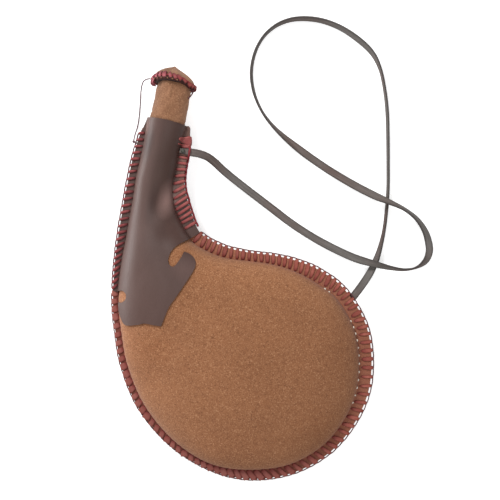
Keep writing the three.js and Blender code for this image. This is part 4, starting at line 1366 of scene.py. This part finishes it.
def hole_shade_row(name, places, cover, seed):
    """Painted shade of the punched holes that the stitches go down into: small dark lumps just past their
    inner ends.
    """
    flat, heading, lean, reach = stitch_layout(places, cover + STITCH_INSET)
    angle = heading - lean
    flat = flat + np.column_stack([np.cos(angle), np.sin(angle)]) * (reach + 0.9)[:, None]
    points = laid_on("collar_leather_front", flat, 0.1)
    return small_balls(name, points, angle, (1.2, 1.0, 0.6), 10, DARK_SHADE, seed)


def make_seam_specks():
    """Pale dots between the stitches, inside the lacing on the right."""
    mid = (BODY_STITCHES[:-1] + BODY_STITCHES[1:]) / 2
    places = np.concatenate([mid[(mid > first) & (mid < last)] for first, last in SPECK_PLACES])
    edge = outline(places)
    inward = inward_at(places)
    points = laid_on("suede_front", edge[:, :2] + inward * (edge[:, 2:3] + 0.3), 0.5)
    heading = np.arctan2(inward[:, 1], inward[:, 0])
    specks = small_balls("seam_specks", points, heading, (0.95, 1.1, 0.65), 8, PALE_SPECKS, 9, swell=0.3)
    finished(specks, None, "bag")


# How unlike each other the body's stitches are: turned by up to sway, in radians, and wider by up to swell
BODY_SWAY = 0.08
BODY_SWELL = 0.2


def make_lacings():
    body = stitch_row("body_stitches", BODY_STITCHES, 0.0, LACE, 11, (0.0, 0.5), BODY_SWAY, BODY_SWELL)
    body.append(edge_run("body_run", BODY_STITCHES, 0.58, EDGE_LACE))
    finished(join("body_lacing", body), "body_lace", "bag")
    crowded = BODY_STITCHES < CROWDED_PLACES[1]
    # Strips of painted shade beside the body's stitches, darker in the crowded lacing
    shade_strips = shade_strip_row("low_crease", BODY_STITCHES[crowded], 0.0, 11, DARK_SHADE, BODY_SWAY, BODY_SWELL)
    shade_strips += shade_strip_row("body_crease", BODY_STITCHES[~crowded], 0.0, 11, SOFT_SHADE, BODY_SWAY, BODY_SWELL)
    finished(join("body_creases", shade_strips), None, "bag")

    cover = COLLAR_GAP + COLLAR_THICKNESS
    left = stitch_row("left_stitches", LEFT_STITCHES, cover, LEFT_LACE, 5)
    left.append(edge_run("left_run", LEFT_STITCHES, 0.65, EDGE_LACE))
    finished(join("left_collar_lacing", left), "collar_lace_left", "bag")

    right = stitch_row("right_stitches", RIGHT_STITCHES, cover, COLLAR_LACE, 8)
    from_tip = np.concatenate([[RIGHT_STITCHES[0] - 0.17], RIGHT_STITCHES])
    right.append(edge_run("right_run", from_tip, 1.15, COLLAR_RUN, over_strap=True))
    finished(join("right_collar_lacing", right), "collar_lace_right", "bag")

    # Strips of painted shade beside the collar's stitches, and painted shade of the punched holes on the
    # right
    shade_strips = shade_strip_row("left_crease", LEFT_STITCHES, cover, 5)
    shade_strips += shade_strip_row("right_crease", RIGHT_STITCHES, cover, 8, SOFT_SHADE)
    shade_strips.append(hole_shade_row("right_holes", RIGHT_STITCHES[RIGHT_STITCHES > HOLE_SHADES_FROM], cover, 8))
    finished(join("collar_creases", shade_strips), None, "bag")


# The fan: lace drawn together on the collar and spread over its edge; the place on the edge of each strand,
# x and y of its inner end, and its width
FAN_STRANDS = [
    (32.12, 15.6, -20.2, 2.0), (32.2, 18.0, -17.2, 2.3), (32.26, 16.6, -16.3, 2.9),
    (32.33, 15.8, -15.5, 3.2), (32.41, 16.2, -14.8, 3.2), (32.48, 17.2, -14.0, 2.9),
]
# Their height over the edge, half the height of their turn round it, and how deep their inner ends are tucked
FAN_EDGE_HEIGHT = 3.3
FAN_TURN_HEIGHT = 4.0
FAN_TUCK = 1.4


def make_fan():
    collar = surface_of("collar_leather_front")
    parts = []
    for n, (place, x, y, wide) in enumerate(FAN_STRANDS):
        edge = edge_at(place)[0]
        apex = np.array((x, y))
        over = []
        for share in np.linspace(0, 1, 15):
            x, y = apex + (edge - apex) * share
            over.append((x, y, height_over(collar, x, y) if share < 0.97 else FAN_EDGE_HEIGHT))
        over = np.array(over)
        lift = 0.75 + 0.2 * np.sin(math.pi * np.linspace(0, 1, len(over))) + 0.08 * n
        over[:, 2] = np.convolve(np.pad(over[:, 2], 1, mode="edge"), [0.25, 0.5, 0.25], mode="valid") + lift
        over[0, 2] -= FAN_TUCK
        out = -inward_at(place)[0]
        bulge = 1.0 + 1.1 * math.sin(math.pi * (n + 1) / (len(FAN_STRANDS) + 1))
        angles = np.linspace(0.2, 2.9, 9)
        round_edge = [(*(edge + out * bulge * math.sin(a)), FAN_TURN_HEIGHT * math.cos(a)) for a in angles]
        path = np.vstack([over, round_edge])
        centres = in_frame(Through(path)(np.linspace(0, len(path) - 1, 60)))
        along = unit(np.gradient(centres, axis=0))
        across = np.tile([out[1], -out[0], 0.0], (len(centres), 1))
        across = unit(across - along * (across * along).sum(axis=1)[:, None])
        widths = wide * np.interp(np.linspace(0, 1, len(centres)), [0, 0.15, 0.5, 1], [0.5, 0.75, 1, 1])
        section = ribbon_sections(widths)
        normals = np.cross(along, across)
        parts.append(tube(f"fan_{n}", centres, across, normals, section, COLLAR_LACE, uv_length=0.2))
    finished(join("collar_fan", parts), "collar_knot", "bag")


make_lacings()
make_fan()


# Knots, stud and the stopper's pieces

def trefoil(name, centre, radius, height, thickness, material, turn=0.0):
    """A small overhand knot of round cord."""
    angles = np.linspace(0, 2 * math.pi, 97)[:-1]
    ring = np.column_stack([
        (np.sin(angles) + 2 * np.sin(2 * angles)) / 3, (np.cos(angles) - 2 * np.cos(2 * angles)) / 3,
        -np.sin(3 * angles),
    ])
    around = np.array(Matrix.Rotation(turn, 3, "Z"))
    spread = (radius - thickness, radius - thickness, height / 2 - thickness)
    middle_line = ring * spread @ around.T + centre
    along = unit(np.roll(middle_line, -1, axis=0) - np.roll(middle_line, 1, axis=0))
    across = unit(np.cross(along, [0, 0, 1.0]))
    normals = np.cross(across, along)
    spokes = np.linspace(0, 2 * math.pi, 10, endpoint=False)
    points = (
        middle_line[:, None]
        + thickness * across[:, None] * np.cos(spokes)[None, :, None]
        + thickness * normals[:, None] * np.sin(spokes)[None, :, None]
    )
    faces = grid_faces(len(angles), len(spokes), round_rows=True, round_columns=True)
    obj = mesh_object(name, in_frame(points.reshape(-1, 3)), faces, material)
    tidy_mesh(obj)
    return obj


def from_ground(x, y, height):
    return np.array([x, y, height - SEAM_HEIGHT])


STUD_FOOT = from_ground(21.9, -25.9, 31.5)
STUD_HEAD = from_ground(21.9, -25.9, 32.2)
STRAP_END = from_ground(215.5, -137.4, 18.4)
TETHER_END = from_ground(-29, -26.4, 21.9)
TETHER_LOOP = [
    (-28.7, -26.3, -1.4), (-27.4, -26.4, 0.4), (-26.1, -26.7, 1.3), (-25.1, -27.1, 0.6), (-24.9, -27.4, -0.6),
    (-25.9, -27.4, -1.6), (-27.3, -27, -1.9), (-28.6, -26.6, -1.7),
]


def make_small_pieces():
    stud = [
        ball("stud_head", STUD_HEAD, (2.0, 2.0, 1.2), STUD),
        ball("stud_foot", STUD_FOOT, (2.3, 2.3, 0.45), STUD),
    ]
    finished(join("stud", stud), "strap_stud", "bag")
    end = [
        trefoil("strap_end_knot", STRAP_END, 3.0, 4.4, 1.0, STRAP, 0.6),
        ball("strap_end_core", STRAP_END, (1.7, 1.7, 1.5), STRAP, 8, 14),
    ]
    finished(join("strap_end", end), "strap_knot", "bag")
    loop = Through(TETHER_LOOP)(np.linspace(0, len(TETHER_LOOP) - 1, 40))
    tie = [
        trefoil("tether_end_knot", TETHER_END, 1.5, 2.8, 0.55, TETHER_LACE, 0.3),
        ball("tether_end_core", TETHER_END, (1, 1, 1), TETHER_LACE, 8, 14),
        thread("tether_loop", loop, 0.5, TETHER_LACE),
    ]
    finished(join("tether_tie", tie), "tether_knot", "bag")


def turned_grid(name, rows, sides, point_at, material):
    """A surface round the neck's axis; point_at gives a point for a row's share and an angle."""
    angles = np.linspace(0, 2 * math.pi, sides, endpoint=False)
    shares = np.linspace(0, 1, rows + 1)
    points = np.array([[point_at(share, angle) for angle in angles] for share in shares])
    faces = grid_faces(rows + 1, sides, round_columns=True)
    obj = mesh_object(name, in_frame(points.reshape(-1, 3)), faces, material)
    tidy_mesh(obj)
    return obj


def dent(value, middle_of_dent, width):
    """A smooth bump: one at its middle and about a third of that a width away."""
    return math.exp(-((value - middle_of_dent) / width) ** 2)


# How far the lid's rim is turned up, in millimetres, by degrees round it from its right through its front
LID_TURN_UP = [
    (0, 0), (38, 0.2), (52, 2.4), (68, 3.8), (100, 3.8), (122, 3.1), (142, 1.8), (162, 0.4), (180, 0),
    (360, 0),
]
SLEEVE_FOOT = -0.9


def turned_up(angle):
    return by_place(LID_TURN_UP, np.degrees(angle) % 360)


def sleeve_point(share, angle):
    raised = 0.6 * max(share - 0.8, 0) / 0.2
    y = SLEEVE_FOOT + share * (STOPPER_HEIGHT - SLEEVE_FOOT) + raised * turned_up(angle)
    radius = STOPPER_RADIUS + (STOPPER_TOP_RADIUS - STOPPER_RADIUS) * share
    degrees = math.degrees(angle)
    radius += 0.22 * math.sin(3 * angle + y / 5.1) + 0.18 * math.sin(5 * angle - y / 3.7 + 1.2)
    radius += 0.12 * math.sin(9 * angle + y / 2.3)
    radius -= 0.75 * dent(degrees, 88, 3.2) * dent(y, 29, 6)
    radius += 0.3 * dent(degrees, 96, 5) * dent(y, 28, 7)
    radius -= 0.45 * dent(degrees - 2.2 * (y - 26), 62, 5) * dent(y, 26, 5)
    radius -= 0.35 * dent(y, 4.5 - 2.5 * math.cos(angle), 1.2)
    return radius * math.cos(angle), y, radius * math.sin(angle)


# The cap's outline to its right and left: share of its height and share of the lid's radius
CAP_RIGHT = [
    (0, 1), (0.13, 0.98), (0.28, 0.92), (0.41, 0.84), (0.61, 0.61), (0.78, 0.32), (0.9, 0.12), (1, 0),
]
CAP_LEFT = [
    (0, 1), (0.14, 0.98), (0.3, 0.93), (0.46, 0.84), (0.6, 0.7), (0.72, 0.54), (0.8, 0.4), (0.9, 0.18),
    (1, 0),
]
CAP_LEAN = 2.3
# Folds of the cap: degrees round it, width in degrees, and height in millimetres
CAP_FOLDS = [(52, 12, -2.0), (76, 10, 1.0), (104, 11, -1.2), (128, 12, 0.7), (232, 16, -1.2), (300, 14, -1.0)]


def cap_point(share, angle):
    to_right = (1 + math.cos(angle)) / 2
    wide = by_place(CAP_RIGHT, share) * to_right + by_place(CAP_LEFT, share) * (1 - to_right)
    degrees = math.degrees(angle) % 360
    fold = sum(height * dent(degrees, at, width) for at, width, height in CAP_FOLDS)
    radius = LID_RADIUS * float(wide) + max(math.sin(math.pi * share), 0) ** 0.8 * fold
    return (
        radius * math.cos(angle) - LID_SHIFT - CAP_LEAN * share**2,
        CAP_FOOT + CAP_HEIGHT * share + turned_up(angle) * (1 - share) ** 2,
        radius * math.sin(angle),
    )


def disc_point(share, angle):
    height = LID_FOOT + LID_THICKNESS + turned_up(angle) * (1 - share) ** 2
    return on_rim(angle, (LID_RADIUS - 0.3) * (1 - share), height)


def make_stopper():
    for name, node, rows, sides, point_at, material, thickness, crisp in (
        ("suede_sleeve", "stopper_sleeve", 60, 144, sleeve_point, STOPPER_SUEDE, 1.6, 50),
        # The lid's disc takes the dark cut-edge leather as painted shade under the rim
        ("lid_disc", "stopper_disc", 12, 120, disc_point, CUT_EDGE_AND_SHADE, LID_THICKNESS - 0.1, 60),
        ("suede_cap", "stopper_cap", 34, 120, cap_point, STOPPER_SUEDE, 1.2, 60),
    ):
        piece = turned_grid(name, rows, sides, point_at, material)
        thicken(piece, thickness)
        sharpen(piece, crisp)
        finished(piece, node, "stopper")


RIM_PATH = [
    (2.4, -1.9), (0.8, -1.95), (-0.7, -1.5), (-1.25, 0.1), (-1.1, 1.8), (-0.6, 3.2), (0.5, 4.6), (1.9, 5.6),
    (2.8, 5.6),
]
RIM_WIDTHS = [2.6, 3.0, 3.5, 3.8, 3.8, 3.6, 3.1, 2.3, 1.5]
RIM_RISE = 0.7
RIM_LEVEL = LID_FOOT + LID_THICKNESS / 2
# Cords that run round the rim: radius, height, their own radius and material; the two dark ones are painted
# shade in the gaps of the rim's stitches and under the lid
RIM_RUNS = [(22.3, 37.0, 0.75, DARK_SHADE), (22.0, 39.4, 0.8, COLLAR_RUN), (20.6, 35.7, 0.7, DARK_SHADE)]
# Slack stitches at the rim's back left, where the lace hangs loose: degrees round the rim and tone
SLACK_STITCHES = [(150, 0.1), (163, 0.5), (176, 0.2), (190, 0.6)]
TAIL_LUMP = (18.3, 34.2, 8.6)
TAIL_ROUTE = [
    (18.6, 35.0, 9.2), (19.6, 33.4, 8.4), (19.4, 31.6, 8.2), (18.4, 29.2, 8.6), (17.2, 26.8, 9.0),
    (16.7, 25.6, 9.2),
]


def rim_turn(angle, slant):
    """Euler angles that set a stitch on the lid's rim: x inward, z along the neck."""
    axes = Matrix((
        (-math.cos(angle), -math.sin(angle), 0),
        (0, 0, 1),
        (-math.sin(angle), math.cos(angle), 0),
    ))
    return (axes @ Matrix.Rotation(slant, 3, "X")).to_euler("XYZ")


def on_rim(angle, radius, height):
    return radius * math.cos(angle) - LID_SHIFT, height, radius * math.sin(angle)


def make_rim_lace():
    chance = np.random.default_rng(21)
    stitch = ribbon("rim_stitch", RIM_PATH, RIM_WIDTHS, thickness=1.15)
    angles = np.arange(RIM_STITCHES) / RIM_STITCHES * 2 * math.pi + chance.uniform(-0.03, 0.03, RIM_STITCHES)
    front_left = np.exp(-(((np.degrees(angles) - 112) / 32) ** 2))
    heights = RIM_LEVEL + RIM_RISE + 0.7 * front_left + turned_up(angles)
    points = [on_rim(a, LID_RADIUS, height) for a, height in zip(angles, heights)]
    turns = [rim_turn(a, -0.2 - 0.85 * max(math.cos(a - 0.3), 0) ** 0.7) for a in angles]
    sizes = np.column_stack([np.ones(len(angles)), np.ones(len(angles)), 0.82 + 0.02 * front_left])
    tones = chance.uniform(0.0, 0.4, len(angles))
    parts = [on_points("rim_stitches", points, turns, sizes, tones, stitch, RIM_LACE, 4, 0.12, 0.22)]

    between = angles + math.pi / RIM_STITCHES
    between = between[(between > math.radians(72)) & (between < math.radians(150))]
    gaps = [on_rim(a, LID_RADIUS + 0.9, RIM_LEVEL - 0.9 + turned_up(a)) for a in between]
    parts.append(small_balls("rim_gaps", gaps, between, (0.75, 0.75, 0.9), 8, STOPPER_SUEDE, 12, swell=0.4))

    slack_degrees, slack_tones = zip(*SLACK_STITCHES)
    slack_angles = [math.radians(degrees) for degrees in slack_degrees]
    slack = [on_rim(a, LID_RADIUS - 0.6, RIM_LEVEL - 1.6) for a in slack_angles]
    turns = [rim_turn(a, 0.35) for a in slack_angles]
    sizes = [(1.15, 0.75, 1.15)] * len(slack)
    parts.append(on_points("slack_stitches", slack, turns, sizes, slack_tones, stitch, RIM_LACE, 6))
    bpy.data.objects.remove(stitch)

    ring = np.linspace(0, 2 * math.pi, 181)
    wave = 0.25 * np.sin(ring * RIM_STITCHES) + turned_up(ring)
    for radius, height, thick, material in RIM_RUNS:
        points = [on_rim(a, radius, height + up) for a, up in zip(ring, wave)]
        parts.append(thread(f"rim_run_{height}", points, thick, material))
    finished(join("rim_lacing", parts), "stopper_rim_lace", "stopper")

    places = np.linspace(0, len(TAIL_ROUTE) - 1, 30)
    tail = [
        trefoil("tail_knot", TAIL_LUMP, 1.9, 3.4, 0.6, EDGE_LACE, 0.9),
        ball("tail_core", TAIL_LUMP, (1.1, 1.1, 1.1), EDGE_LACE, 8, 14),
        thread("tail_thread", Through(TAIL_ROUTE)(places), 0.65, EDGE_LACE),
    ]
    finished(join("lace_tail", tail), "rim_lace_tail", "stopper")


make_small_pieces()
make_seam_specks()
make_stopper()
make_rim_lace()


# Finish

for node, material in (("inner_bladder", RUBBER), ("neck_tube", WOOD), ("stopper_core", WOOD)):
    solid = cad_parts[node]
    paint(bpy.data.objects[solid] if isinstance(solid, str) else solid, material)
